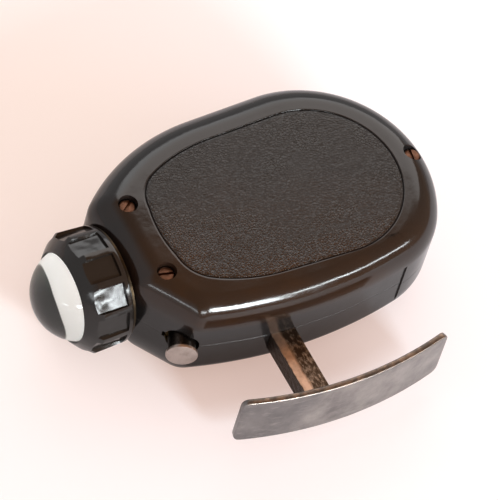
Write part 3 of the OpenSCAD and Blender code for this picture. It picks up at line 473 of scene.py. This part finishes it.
def panel_rings():
    """The rings of the top out to the groove. The groove's section is half a wave,
    depth = D (1 + cos(pi g / W)) / 2 at g from its middle, and the top swells by DOME."""
    rim = towards(wall_line, panel_outline(0.0))
    edge = towards(wall_line, top_line[:, :2])
    share = np.hypot(*(rim - MIDDLE).T) / np.hypot(*(edge - MIDDLE).T)
    rings = []
    for part in (0.0, 0.25, 0.5, 0.7, 0.85, 0.95):
        rings.append((MIDDLE + (rim - MIDDLE) * part, -DOME * (share * part) ** 2))
    for g in np.linspace(-1, 1, 13):
        xy = towards(wall_line, panel_outline(g * GROOVE_W))
        rings.append((xy, -DOME * share ** 2 - GROOVE_D * (1 + math.cos(math.pi * g)) / 2))
    last = rings[-1][0]
    for part in (0.12, 0.3, 0.5, 0.7, 0.9):
        reach = share + (1 - share) * part
        rings.append((last + (top_line[:, :2] - last) * part, -DOME * reach ** 2))
    return rings


def shell_rings(upper):
    """Rings from the middle of the flat face, out over the edge, down the wall to the parting
    plane, and back inside one wall further in. Heights are from the parting plane."""
    rings = []
    line, edge_h = (top_line, TOP_EDGE) if upper else (base_line, BASE_EDGE)
    upright = HALF - edge_h

    def put(xy, z):
        rings.append(np.hstack([xy, np.broadcast_to(z, (len(xy),))[:, None]]))

    if upper:
        for xy, lower in panel_rings():
            put(xy, HALF + lower)
    else:
        for part in (0.0, 0.5, 0.9):
            put(MIDDLE + (line[:, :2] - MIDDLE) * part, HALF)
    rise = edge_h - (DOME if upper else 0.0)
    for a in np.radians(np.linspace(90, 0, 27)):
        xy = wall_line[:, :2] + (1 - math.cos(a)) * (line[:, :2] - wall_line[:, :2])
        put(xy if upper else seated(xy), upright + rise * math.sin(a))
    for z in (8.57, 7.8, 6.5, 5.5, 3.5, 2.0, 0.9, 0.35, 0.22):
        if z < upright:
            put(seated(wall_line[:, :2]), z)
    for z, inset in ((0.06, 0.01), (0.025, 0.03), (0.0, 0.07)):
        put(seated(wall_line[:, :2]) - inset * wall_line[:, 2:], z)
    put(inner_line[:, :2], 0.0)
    put(inner_line[:, :2], upright)
    for a in np.radians((25, 50, 75, 90)):
        xy = inner_line[:, :2] + (1 - math.cos(a)) * (line[:, :2] - inner_line[:, :2])
        put(xy, upright + (edge_h - THICK) * math.sin(a))
    put(np.repeat([MIDDLE], len(wall_line), 0), HALF - THICK)
    rings = np.array(rings)
    rings[..., 2] = HALF + (rings[..., 2] if upper else -rings[..., 2])
    return rings * MM


print("upper shell rings:", shell_rings(True).shape)

# %% [markdown]
# ## Finishes of the housing
# Pressed phenolic plastic is black. On its top towards the grip side a brown tinge is painted in: a
# painted reflection of the brown room.
# The panel was moulded against a leather grain: small raised cells with creases between them,
# duller than the polished rim. The rim is smooth with faint ripples that bend its reflections. One
# finish serves both, and an attribute on the mesh marks the panel, so the grain stops at the
# groove.

# %% Moulded black plastic
NEAR_SIDE = (-0.35, -0.94, 0.0)
UP = (0, 0, 1)


def moulded(name, grain):
    """Black pressed plastic with smears in its polish. Where a grain is asked, it also gets a
    leather grain and a painted brown reflection on its top towards the grip side."""
    f = Finish(name, Base_Color=(0.010, 0.008, 0.007), IOR=1.47)
    smear = f.noise(0.022, 5, 0.6)
    streak = f.noise(0.006, 4, 0.6, f.stretched((0.35, 1.6, 1.0)))
    rough = 0.10 + smear.between(0.35, 0.75) * 0.10 + streak.between(0.5, 0.8) * 0.06
    wave = f.noise(0.016, 2, 0.4)
    if not grain:
        f.feed(Roughness=rough)
        return f.bumped(wave * 0.4 + f.noise(0.005, 1, 0.4) * 0.6, 0.0004)
    panel = f.node("ShaderNodeAttribute", {"attribute_name": "panel"}, "Fac")
    # Painted reflection: the top turns brown towards the grip side, mottled by noise, as the brown
    # room mirrored in the polish.
    near = (f.along(f.place, NEAR_SIDE) + f.noise(0.035, 4, 0.6) * 0.05).between(0.015, 0.055)
    near = near * f.along(f.place, UP).between(0.024, 0.029)
    mottle = f.noise(0.009, 5, 0.65, f.stretched((0.5, 1.0, 1.0))).between(0.4, 0.68)
    brown = (near * (0.55 + mottle * 0.45)).clamped()
    rim_tone = f.mix(brown, (0.009, 0.008, 0.008), (0.022, 0.010, 0.005))
    panel_tone = f.mix(brown, (0.012, 0.010, 0.009), (0.042, 0.017, 0.006))
    bent = f.node("ShaderNodeVectorMath", {"operation": "MULTIPLY_ADD"}, "Vector", (
        f.node("ShaderNodeTexNoise", out="Color", Vector=f.place, Scale=700.0),
        (0.0006, 0.0006, 0.0006), f.place))
    cells = f.node("ShaderNodeTexVoronoi", {"feature": "DISTANCE_TO_EDGE"}, "Distance",
                   Vector=bent, Scale=1200.0)
    crease = cells.between(0.0, 0.22)
    pores, ripple = f.noise(0.00045, 3, 0.6), f.noise(0.0032, 3, 0.55)
    pebble = crease * 0.085 + pores * 0.04 + ripple * 0.08
    # The creases are painted darker than the cells: painted shade in the grain.
    grained = f.mix(crease, (0.005, 0.004, 0.0035), panel_tone)
    dull = 0.23 + pores * 0.05 + smear.between(0.4, 0.7) * 0.04 - near * 0.13
    f.feed(Base_Color=f.mix(panel, rim_tone, grained),
           Roughness=rough * (1 - panel) + dull * panel)
    peel = f.noise(0.0014, 2, 0.5)
    return f.bumped(wave * 0.25 + peel * (1 - panel) * 0.02 + pebble * panel, 0.00085)


housing_black = moulded("housing_black", True)
cap_black = moulded("cap_black", False)
print("finishes:", housing_black.material.name, cap_black.material.name)

# %% [markdown]
# ## The two shells
# A moulded shell comes out of its tool with every hole in place. Here the closed skin comes first
# and the holes are cut after: sunk screw seats, the lamp opening, the round hole and key slot of
# the button, and the slot of the rack bar. Each cutter is a closed mesh, so the result stays
# closed. Columns for the screws are added inside before that.

# %% Build and cut the shells
# Each screw: its place, the height of its head, the angle of its slot, and the height and radius of
# the column inside the shell.
SCREWS = [((-36.0, 12.2), 34.3, 38.0, 33.9, 3.9), ((-36.0, -12.2), 34.3, -12.0, 33.9, 3.9),
          ((51.0, 0.0), 33.0, 80.0, 31.5, 3.1)]
BUTTON_ANGLE = 62.0
BUTTON_WAY = np.append(unit(BUTTON_ANGLE), 0)
BUTTON_FACE = np.array([-34.2, -24.5, HALF]) - 6.0 * BUTTON_WAY
BUTTON_HOLE_R, LAMP_HOLE_R = 4.9, 11.65
BAR_LOW, BAR_HIGH, BAR_GAP = np.array([-9.5, 11.2]), np.array([-1.9, 17.85]), 0.15


def block(low, high):
    """A closed box between two corners, only used to cut."""
    low, high = np.array(low) * MM, np.array(high) * MM
    pick = np.array([[0, 0], [1, 0], [1, 1], [0, 1]])
    xy = low[:2] + pick * (high - low)[:2]
    rings = [np.hstack([xy * 0 + xy.mean(0), np.full((4, 1), low[2])])]
    rings += [np.hstack([xy, np.full((4, 1), z)]) for z in (low[2], high[2])]
    rings += [np.hstack([xy * 0 + xy.mean(0), np.full((4, 1), high[2])])]
    points, faces = stack(rings)
    return add_piece("cutter", points, faces, None, None)


def key_slot():
    """The small slot beside the button's hole, a box turned to the button's direction."""
    cut = block((0, 3.9, -1.0), (8.4, 5.7, 1.0))
    turn = Matrix.Rotation(math.radians(BUTTON_ANGLE), 4, "Z")
    cut.data.transform(Matrix.Translation((BUTTON_FACE * MM).tolist()) @ turn)
    return cut


def make_shell(name, upper):
    points, faces = stack(shell_rings(upper))
    piece = add_piece(name, points, faces, "housing", housing_black)
    sign = 1 if upper else -1
    carve(piece, [cutter(post(r, HALF, HALF + sign * (top - HALF)), (*xy, 0), UP, (1, 0, 0))
                  for xy, _, _, top, r in SCREWS], "UNION")
    cuts = [cutter(post(LAMP_HOLE_R, -4, 4), (FRONT_X, 0, HALF), (1, 0, 0), UP),
            cutter(post(BUTTON_HOLE_R, -6, 20), BUTTON_FACE, BUTTON_WAY, UP), key_slot()]
    if upper:
        for xy, head, *_ in SCREWS:
            seat = [(0, head - 1.7), (2.55, head - 1.7), (2.7, head - 1.2), (2.7, head + 0.6),
                    (3.1, head + 3), (0, head + 3)]
            cuts.append(cutter(seat, (*xy, 0), UP, (1, 0, 0), 64))
    else:
        cuts.append(block((BAR_LOW[0] - BAR_GAP, -50, BAR_LOW[1] - BAR_GAP),
                          (BAR_HIGH[0] + BAR_GAP, -20, HALF + 1)))
    carve(piece, cuts, sharp=32.0)
    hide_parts("upper_shell" if upper else "lower_shell")
    return piece


upper_shell = make_shell("upper_shell_skin", True)
lower_shell = make_shell("lower_shell_skin", False)
for shell in (upper_shell, lower_shell):
    place = np.zeros(len(shell.data.vertices) * 3)
    shell.data.vertices.foreach_get("co", place)
    place = place.reshape(-1, 3) / MM
    reach = np.hypot(*(place[:, :2] - MIDDLE).T)
    rim = np.hypot(*(towards(place[:, :2], panel_outline(0.0)) - MIDDLE).T)
    inside = (reach < rim - GRAIN_INSET) & (place[:, 2] > TOP_ONLY)
    mark = shell.data.attributes.new("panel", "FLOAT", "POINT")
    mark.data.foreach_set("value", inside.astype(np.float32))
print("shell triangles:", sum(len(p.vertices) - 2 for p in upper_shell.data.polygons))

# %% [markdown]
# ## The screw cap
# The cap holds the lens and is screwed in and out by hand, so its side has twelve flats for the
# fingers. Such a cap is turned, with a slightly bulged cone for its nose, and the flats are milled
# after. As a surface it is one radius over angle and length: the smaller of the turned radius and
# the flat's distance divided by the cosine of the angle from its middle. Rows of points sit close
# together on both sides of each flat's edge, and each column starts the cone where the cone has the
# column's own radius, so the ribs and the ends of the flats come out crisp.

# %% The cap as radius over angle
CAP_REAR, LENS_BACK = -46.2, -54.66
CAP_R, REAR_R, SIDE_L, FLAT_R = 17.8, 17.3, 9.5, 16.4
FLATS, RIB, NOSE_L, NOSE_R = 12, 2.4, 4.4, 13.6


def weld(piece):
    """Joins points that lie in the same place, so that a seam is closed."""
    form = bmesh.new()
    form.from_mesh(piece.data)
    bmesh.ops.remove_doubles(form, verts=form.verts, dist=1e-7)
    bmesh.ops.recalc_face_normals(form, faces=form.faces)
    form.to_mesh(piece.data)
    form.free()


def cap_piece():
    """Side: radius = min(REAR_R + (CAP_R - REAR_R) h / SIDE_L, FLAT_R / cos(angle off the flat's
    middle)). Nose: r = NOSE_R + (CAP_R - NOSE_R) (1 - t) (1 + t / 4), with t from 0 to 1 along
    NOSE_L. Each column of points starts its nose at the t where the cone has its own radius."""
    pitch = 2 * np.pi / FLATS
    half_flat = pitch / 2 - RIB / 2 / CAP_R
    local = np.concatenate([np.linspace(-half_flat, half_flat, 15),
                            [half_flat + 0.012, half_flat + 0.035, pitch / 2,
                             pitch - half_flat - 0.035, pitch - half_flat - 0.012]])
    angle = (np.arange(FLATS)[:, None] * pitch + pitch / 2 + local).ravel()
    middle = np.abs((angle % pitch) - pitch / 2)
    side_r = np.where(middle < half_flat + 1e-6, FLAT_R / np.cos(middle),
                      np.where(middle < half_flat + 0.02, CAP_R - 0.1, CAP_R))
    taper = (CAP_R - REAR_R) / SIDE_L
    band = np.array([0, 0.12, 0.4, 0.8, 1.35, 1.5])[:, None]
    band_r = REAR_R + taper * band - np.array([0.4, 0.12, 0, 0, 0, 0])[:, None]
    nose_start = NOSE_L * (np.sqrt(2.25 + 4 * (CAP_R - side_r) / (CAP_R - NOSE_R)) - 1.5)
    run = np.linspace(0, 1, 11)[:, None]
    flat_h = 1.56 + run * (SIDE_L + nose_start - 1.56)
    flat_r = np.minimum(side_r, REAR_R + taper * flat_h)
    t = (nose_start + np.linspace(0, 1, 13)[1:, None] * (NOSE_L - nose_start)) / NOSE_L
    nose_r = NOSE_R + (CAP_R - NOSE_R) * (1 - t) * (1 + t / 4)
    # Inside: the mouth, the arc on which the lens sits, the bore, and the rear face.
    seat = np.radians(np.linspace(21.5, 0, 6))
    inside = np.vstack([
        [(13.35, 13.86)],
        np.stack([14.08 * np.cos(seat), 8.46 + 14.08 * np.sin(seat)], 1),
        [(14.96, 8.36), (14.96, 0.0), (REAR_R - 0.4, 0.0)]])
    wide = np.ones((1, len(angle)))
    radius = np.vstack([band_r * wide, flat_r, nose_r, inside[:, :1] * wide])
    heights = np.vstack([band * wide, flat_h, SIDE_L + NOSE_L * t, inside[:, 1:] * wide])
    rings = np.stack([CAP_REAR - heights, radius * np.sin(angle), HALF + radius * np.cos(angle)], 2)
    points, faces = stack(rings * MM)
    form = add_piece("screw_cap", points, faces, "cap", cap_black, 25)
    weld(form)
    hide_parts("lens_cap")
    return form


screw_cap = cap_piece()
print("cap points:", len(screw_cap.data.vertices))

# %% [markdown]
# ## Lens and reflector
# The lens is a thick bull's-eye of pressed glass, flat behind. Glass needs only its surface: the
# shader bends the light. Through the real lens one sees the lit rim of the reflector as a pale
# crescent over a dark bowl. A plain glass shader shows the floor there by total reflection, so the
# crescent is painted light on the lens's flat back: a second finish that glows faintly, pale for the
# lit rim, with painted dark shade for the bowl and a painted haze of light on it. The reflector is
# spun from sheet brass and plated bright.

# %% Glass and bright metal
LAMP, LENS_R, LENS_H = (-1, 0, 0), 14.0, 13.9
lens_glass, bulb_glass = [
    Finish(name, Base_Color=colour, Roughness=0.02, Transmission_Weight=1.0, IOR=ior)
    for name, colour, ior in (("lens_glass", (0.96, 0.97, 0.97), 1.5),
                              ("bulb_glass", (0.97, 0.97, 0.95), 1.45))]
dome = np.radians(np.linspace(0, 90, 40))
lens_profile = np.vstack([
    [(0, 0.02), (LENS_R - 0.1, 0.02)],
    np.stack([LENS_R * np.cos(dome), 0.1 + LENS_H * np.sin(dome)], 1)])
lens_profile[-1, 0] = 0
points, faces = stack(turned(lens_profile, (LENS_BACK, 0, HALF), LAMP, UP, 128))
lens = add_piece("bulls_eye_lens", points, faces, "lens_unit", lens_glass, 40)
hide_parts("lens")


def lens_painted_light():
    """Painted light: pale and faintly glowing above the curve s = -5.5 - 3.3 sqrt(1 - (w / 13)^2),
    in millimetres, and painted dark shade below. s runs up and towards the grip side across the
    lens, and w square to it. Noise makes the border wavy, and a painted haze of light lies on the
    dark part near the border's upper end."""
    # The flat back is painted light: a faintly glowing pale crescent, painted dark shade and a
    # painted haze.
    f = Finish("lens_painted_light", Roughness=0.5, Emission_Strength=0.33)
    up = f.along(f.place, (0.0, -479.7, 877.7)) - 15.8
    across = (f.along(f.place, (0.0, 877.7, 479.7)) - 8.63) / 13.0
    curve = (1 - across * across).clamped().root() * 3.3
    edge = up + 5.5 + curve + f.noise(0.006, 2, 0.5) * 0.9
    pale = edge.between(0.3, 0.6)
    haze = edge.between(-2.6, 0.4) * across.between(0.0, 0.75) * f.noise(0.004, 3).between(0.3, 0.7)
    dark = f.mix(haze, (0.010, 0.011, 0.010), (0.16, 0.19, 0.16))
    f.feed(Base_Color=f.mix(pale, dark, (0.92, 0.92, 0.90)),
           Emission_Color=f.mix(pale, dark, (0.96, 1.0, 0.97)))
    return f


lens.data.materials.append(lens_painted_light().material)
for face in lens.data.polygons:
    face.material_index = int(face.center.x > (LENS_BACK - 0.03) * MM)
bowl = Finish("bowl_metal", Base_Color=(0.86, 0.85, 0.82), Roughness=0.16, Metallic=1.0)
bowl.bumped(bowl.noise(0.004, 3), 0.0001)
print("lens points:", len(lens.data.vertices))

# %% [markdown]
# ## Worn metals
# The torch's metal is plated or bare, and years of handling show on it. Plating wears in cloudy
# blotches and takes fine scratches along the way that fingers move. Brass tarnishes dark and scaly
# and stays bright only where it slides in its guide. One helper makes the plain worn metals. The
# plate and the bar, which are seen from close by, have a finish each.

# %% Metal finishes
def worn_metal(name, colour, shade, rough, blotch, streaks=(1.0, 1.0, 1.0), painted_shade=None):
    """Plated metal with cloudy wear: colour goes to shade in blotches, and fine scratches. The last
    argument, if given, holds a direction, the places between which the metal darkens along it, and
    the colour it darkens to: painted shade."""
    f = Finish(name, Metallic=1.0)
    cloud = f.noise(blotch, 5, 0.62)
    fine = f.noise(blotch * 0.08, 3, 0.6, f.stretched(streaks))
    amount = (cloud.between(0.38, 0.66) * 0.75 + fine.between(0.45, 0.7) * 0.25).clamped()
    tone = f.mix(amount, colour, shade)
    if painted_shade:
        way, low, high, shade_colour = painted_shade
        dark = f.along(f.place, way).between(low, high)
        tone = f.mix(dark * (0.95 - fine.between(0.45, 0.65) * 0.25), tone, shade_colour)
    f.feed(Base_Color=tone, Roughness=rough + amount * 0.14 - fine * 0.05)
    return f.bumped(fine * 0.6 + cloud * 0.4, 0.00003)


def plate_metal():
    """Dull nickel with clouds and thin scratches along the plate. Its left third is painted darker,
    a painted reflection. Its top edge is painted dark brown, also a painted reflection, with the
    coppery underplate showing in rubbed spots."""
    f = Finish("plate_steel", Metallic=1.0)
    cloud = f.noise(0.009, 6, 0.65)
    scratch = f.noise(0.0010, 3, 0.6, f.stretched((0.10, 1.0, 0.8))).between(0.55, 0.72)
    # Painted reflection: the left third of the plate is painted darker.
    left = 1 - (f.along(f.place, (1, 0, -0.5)) + f.noise(0.015, 4) * 0.006).between(-0.018, -0.013)
    tone = f.mix(cloud.between(0.35, 0.68), (0.42, 0.385, 0.365), (0.22, 0.20, 0.195))
    tone = f.mix(left * 0.5, tone, (0.15, 0.145, 0.15))
    tone = f.mix(scratch * 0.4, tone, (0.50, 0.46, 0.43))
    # Painted reflection: the top edge is painted dark brown, with coppery underplate in rubbed
    # spots.
    mottle = f.noise(0.003, 4, 0.6).between(0.42, 0.6)
    edge_reflection_and_copper = f.mix(mottle, (0.11, 0.095, 0.085), (0.25, 0.19, 0.15))
    f.feed(Base_Color=f.mix(f.along(f.place, UP).between(0.0235, 0.0240), tone, edge_reflection_and_copper),
           Roughness=0.29 + cloud * 0.12 + scratch * 0.06)
    return f.bumped(cloud * 0.5 + scratch * 0.5, 0.00003)


def bar_metal():
    """Copper-coloured where the guide rubs one half of the bar's top, and dark, scaly tarnish with
    bright flecks on the rest of the top. The sides are plain and darker still."""
    f = Finish("bar_brass", Roughness=0.36, Metallic=1.0)
    across = f.along(f.place, (1, 0, 0)) + f.noise(0.002) * 0.001
    scaly = f.noise(0.0008, 4, 0.65, f.stretched((1.0, 0.45, 1.0)))
    dark = f.mix(scaly.between(0.48, 0.70), (0.07, 0.048, 0.034), (0.42, 0.33, 0.26))
    rubbed = f.mix(f.noise(0.003, 5).between(0.4, 0.7), (0.76, 0.56, 0.44), (0.46, 0.32, 0.24))
    bare = across.between(-0.0091, -0.0088) * (1 - across.between(-0.0066, -0.0058))
    top = f.along(f.place, UP).between(0.01765, 0.01775)
    f.feed(Base_Color=f.mix(top, (0.045, 0.03, 0.022), f.mix(bare, dark, rubbed)))
    return f.bumped(scaly * (1 - bare), 0.00025)


BUTTON_DISC = BUTTON_FACE @ BUTTON_WAY * MM
plate_steel, bar_brass = plate_metal(), bar_metal()
# The button's neck and stem behind its disc sit in the hole and are painted dark: painted shade.
button_nickel = worn_metal("button_nickel", (0.48, 0.40, 0.36), (0.32, 0.26, 0.23), 0.32, 0.004,
                           painted_shade=(tuple(BUTTON_WAY), BUTTON_DISC + 0.0011, BUTTON_DISC + 0.0014,
                                  (0.014, 0.011, 0.009)))
screw_copper = worn_metal("screw_copper", (0.20, 0.105, 0.07), (0.08, 0.045, 0.03), 0.40, 0.0015)
brass = worn_metal("brass", (0.55, 0.38, 0.16), (0.30, 0.19, 0.09), 0.30, 0.004)
dark_brass = worn_metal("dark_brass", (0.05, 0.035, 0.02), (0.015, 0.012, 0.01), 0.38, 0.003)
steel = worn_metal("steel", (0.42, 0.42, 0.41), (0.25, 0.25, 0.24), 0.32, 0.005)
dark_steel = worn_metal("dark_steel", (0.22, 0.22, 0.21), (0.12, 0.12, 0.115), 0.42, 0.006)
print("materials so far:", len(bpy.data.materials))

# %% [markdown]
# ## The grip plate
# The grip plate is a strip of sheet steel, bent to the curve of the housing's side and plated with
# nickel, with its corners rounded for the fingers. Its surface is a rounded bar profile carried
# along an arc, which gives it the same soft edge all round.

# %% The grip plate
PLATE_MIDDLE, PLATE_R = np.array([2.6, 61.4]), 119.0
PLATE_REACH, PLATE_H, PLATE_T = 33.1, 9.35, 0.99
PLATE_CORNER, PLATE_EDGE, PLATE_Z = 2.2, 0.55, 14.65


def rounded_strip(half_w, half_t, radius, count=6):
    """A closed cross-section, half_t by half_w, with round corners: rows of across, up."""
    quarter = np.radians(np.linspace(0, 90, count))
    corner = np.stack([half_t - radius + radius * np.cos(quarter),
                       half_w - radius + radius * np.sin(quarter)], 1)
    up = np.vstack([[half_t, v] for v in np.linspace(0, half_w - radius, 8)[:-1]])
    one = np.vstack([up, corner, [[0, half_w]]])
    half = np.vstack([one, (one * [-1, 1])[::-1][1:]])
    return np.vstack([half, (half * [1, -1])[::-1][1:-1]])


def grip_piece():
    """The profile goes along an arc of radius PLATE_R. Towards each end it keeps its thickness
    and loses height along a quarter circle, which rounds the corners."""
    reach = math.degrees(math.asin(PLATE_REACH / PLATE_R))
    inner = np.linspace(-reach, reach, 90)
    step = math.degrees(PLATE_CORNER / PLATE_R)
    ends = step * (1 - np.cos(np.radians(np.linspace(0, 90, 9))))
    a = np.concatenate([-reach + ends, inner[(inner > -reach + step) & (inner < reach - step)],
                        (reach - ends)[::-1]])
    from_end = np.minimum(a + reach, reach - a) / step
    lost = PLATE_CORNER * (1 - np.sqrt(np.clip(1 - (1 - np.minimum(from_end, 1)) ** 2, 0, 1)))
    rings = []
    for angle, less, near in zip(np.radians(a), lost, from_end):
        line = rounded_strip(PLATE_H - less, PLATE_T - 0.12 * max(0, 1 - near * 4), PLATE_EDGE)
        out = np.array([math.sin(angle), -math.cos(angle)])
        xy = PLATE_MIDDLE + (PLATE_R + line[:, :1]) * out
        rings.append(np.hstack([xy, PLATE_Z + line[:, 1:]]))
    first, last = [np.repeat([ring.mean(0)], len(ring), 0) for ring in (rings[0], rings[-1])]
    points, faces = stack(np.array([first, *rings, last]) * MM)
    piece = add_piece("grip_strip", points, faces, "plunger", plate_steel, 50)
    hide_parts("grip_plate")
    return piece


grip = grip_piece()
print("grip plate points:", len(grip.data.vertices))

# %% [markdown]
# ## Screws and button
# Screws and button are turned from rod. A saw cuts the slot in each screw head, and every slot
# stopped at its own angle when the screw was tight. The button is a thin disc on a neck with a stem
# behind it. The edges are rounded, because a worn edge catches a line of light that a sharp one
# can't.

# %% Turned screws and button
SCREW_R, SCREW_H, SCREW_EDGE = 2.48, 1.6, 0.5
SLOT_HALF, SLOT_DEPTH = 0.42, 0.85
BUTTON_PROFILE = [(0, 0), (4.2, 0), (4.5, 0.12), (4.6, 0.35), (4.6, 0.95), (4.45, 1.1), (4, 1.1),
                  (4, 9), (1.8, 9), (1.8, 17.8), (0, 17.8)]


def rounded_head(radius, low, high, edge):
    """Profile of a screw head or disc whose top edge is a quarter circle of radius edge."""
    a = np.radians(np.linspace(0, 90, 6))
    top = np.stack([radius - edge + edge * np.cos(a), high - edge + edge * np.sin(a)], 1)
    return np.vstack([[(0, low), (radius, low)], top, [(0, high)]])


for number, ((x, y), head, slot_angle, *_) in enumerate(SCREWS):
    profile = rounded_head(SCREW_R, head - SCREW_H, head, SCREW_EDGE)
    points, faces = stack(turned(profile, (x, y, 0), UP, (1, 0, 0), 64))
    screw = add_piece(f"screw_head_{number}", points, faces, "housing",
                      screw_copper)
    cut = block((-4, -SLOT_HALF, -SLOT_DEPTH), (4, SLOT_HALF, 1))
    cut.data.transform(Matrix.Translation((x * MM, y * MM, head * MM))
                       @ Matrix.Rotation(math.radians(slot_angle), 4, "Z"))
    carve(screw, [cut])
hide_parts("cover_screws")

points, faces = stack(turned(BUTTON_PROFILE, BUTTON_FACE, BUTTON_WAY, UP, 96))
button = add_piece("button_disc", points, faces, "button", button_nickel, 40)
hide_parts("push_button")

# %% [markdown]
# ## Pieces that keep their CAD shape
# The bar with its rack was milled from brass, and the gears, plates, springs and coil inside are
# machined, stamped or wound. Their solids are already exact, so they keep their shape and only get
# a finish, chosen by the record's material slot. The neck behind the cap shows as a thin dark line.

# %% Finishes for the CAD nodes
red_wire = worn_metal("copper_wire", (0.55, 0.22, 0.09), (0.32, 0.12, 0.05), 0.3, 0.002,
                      streaks=(1.0, 12.0, 1.0))
fibre = moulded("brown_fibre", False)
fibre.feed(Base_Color=(0.09, 0.04, 0.025))
by_slot = {"brass": brass, "bar_brass": bar_brass, "bright_metal": bowl, "bulb_clear": bulb_glass,
           "seal_fibre": fibre, "spring_steel": steel, "steel": steel, "frame_steel": dark_steel,
           "magnet": dark_steel, "core_steel": dark_steel, "bobbin_fibre": fibre,
           "copper_wire": red_wire, "nickel": button_nickel, "screw_copper": screw_copper,
           "bakelite": housing_black, "cap_bakelite": cap_black, "lens_glass": lens_glass,
           "grip_steel": plate_steel}
for part in frame["record"]["subparts"]:
    node = nodes[part["node"]]
    node.data.materials.clear()
    finish = dark_brass if part["node"] == "lamp_neck" else by_slot[part["material_slot"]]
    node.data.materials.append(finish.material)

# %% [markdown]
# ## Floor and light
# The torch lies on a pale pinkish sheet. A window low on the grip side throws the plate's shadow,
# and a warm, even room fills it. Polished black shows little but reflections, so four narrow panes
# that only mirror rays see draw the bright lines on its edges, and a tilted card gives the flat top
# its grey sheen with a slanted border. A second, low window only lights, and no mirror shows it.
# The floor's colour carries the background: camera rays see it lifted, mirror rays a little less,
# and the shadow stays, except beside the torch, where a soft spot of painted light lightens the
# body's shadow.

# %% Floor, lights and world
FLOOR_HALF, FLOOR_Z, FLOOR_LIFT, MIRROR_SHARE = 3, -0.00005, 0.44, 0.6
PATCH = (-0.035, 0.055, 0.0)
TORCH, COOL = (0, 0, 0.02), (0.90, 0.97, 1.0)


def make_floor():
    """A sheet lifted a little for rays that show it directly, with a soft spot of painted light
    beside the torch that lightens the body's shadow there.
    """
    corner = np.array([[-1, -1], [1, -1], [1, 1], [-1, 1]], float) * FLOOR_HALF
    points = np.hstack([corner, np.full((4, 1), FLOOR_Z)])
    sheet = Finish("pale_sheet", Roughness=0.8)
    camera_ray = sheet.node("ShaderNodeLightPath", out="Is Camera Ray")
    glossy_ray, clear_ray = [Value(sheet, camera_ray.socket.node.outputs[name])
                             for name in ("Is Glossy Ray", "Is Transmission Ray")]
    shown = camera_ray + glossy_ray * MIRROR_SHARE + clear_ray
    off = sheet.node("ShaderNodeVectorMath", {"operation": "DISTANCE"}, "Value",
                     (sheet.place, PATCH))
    # Painted light: the floor beside the torch, where the body's shadow falls, is made lighter.
    shadow_lift = (1 - (off + sheet.noise(0.06, 3, 0.5) * 0.04).between(0.045, 0.11))
    sheet.feed(Base_Color=sheet.mix(shadow_lift, (0.46, 0.52, 0.575), (0.48, 0.49, 0.50)),
               Emission_Color=sheet.mix(shadow_lift, (1.2, 0.83, 0.70), (1.24, 0.94, 0.81)),
               Emission_Strength=shown.clamped() * FLOOR_LIFT)
    floor = add_piece("floor", points, [[0, 1, 2, 3]], None, sheet)
    return floor


def lamp(name, target, way, distance, size, radiance, colour, tilt=0.0):
    """A flat lamp at a distance from target in the direction way, facing it and turned by tilt
    degrees. Its power follows from its radiance: pi times radiance times its area."""
    data = bpy.data.lights.new(name, "AREA")
    data.shape = "RECTANGLE"
    data.size, data.size_y = size
    data.energy = math.pi * radiance * size[0] * size[1]
    data.color = colour
    light = bpy.data.objects.new(name, data)
    back = Vector(way).normalized()
    right = Vector((0, 0, 1)).cross(back).normalized()
    facing = Matrix((right, back.cross(right), back)).transposed().to_4x4()
    light.matrix_world = (Matrix.Translation(Vector(target) + back * distance) @ facing
                          @ Matrix.Rotation(math.radians(tilt), 4, "Z"))
    bpy.context.scene.collection.objects.link(light)
    return light


def make_room():
    """Warm and even for the light that falls on things. Mirror rays see a pale room that turns
    brown overhead and towards the grip side."""
    world = bpy.data.worlds.new("room")
    sky = Tree(world)
    way = sky.node("ShaderNodeTexCoord", out="Generated")
    overhead = sky.along(way, (0.36, -0.52, 0.77)).between(0.15, 0.4)
    seen = sky.mix(overhead, (0.63, 0.62, 0.62), (0.50, 0.27, 0.14))
    mirror = sky.node("ShaderNodeLightPath", out="Is Glossy Ray")
    back = sky.tree.nodes["Background"]
    sky.join(back.inputs["Color"], sky.mix(mirror, (0.70, 0.55, 0.48), seen))
    back.inputs["Strength"].default_value = 1.0
    return world


floor = make_floor()
lamp("window", TORCH, (0.13, -0.90, 0.36), 1.5, (0.38, 0.32), 60.0, COOL)
for name, way, size, radiance in (("left_pane", (-0.80, -0.44, 0.24), (0.4, 0.08), 9.0),
                                  ("middle_pane", (-0.36, -0.84, 0.34), (0.6, 0.16), 20.0),
                                  ("right_pane", (0.40, -0.80, 0.45), (0.34, 0.07), 50.0),
                                  ("far_right_pane", (0.66, -0.66, 0.42), (0.6, 0.10), 25.0)):
    lamp(name, TORCH, way, 1.5, size, radiance, COOL).visible_diffuse = False
lamp("low_window", TORCH, (0.60, -0.78, 0.16), 2.5, (1.8, 0.7), 14.0,
     (0.95, 0.98, 1.0)).visible_glossy = False
lamp("sky_card", (0.031, 0.079, -0.020), (0.3975, 0.4401, 0.8052), 0.35, (0.42, 0.2), 2.05,
     (1.0, 1.0, 1.0), 20)
bpy.context.scene.world = make_room()
bpy.context.scene.view_settings.view_transform = "Standard"
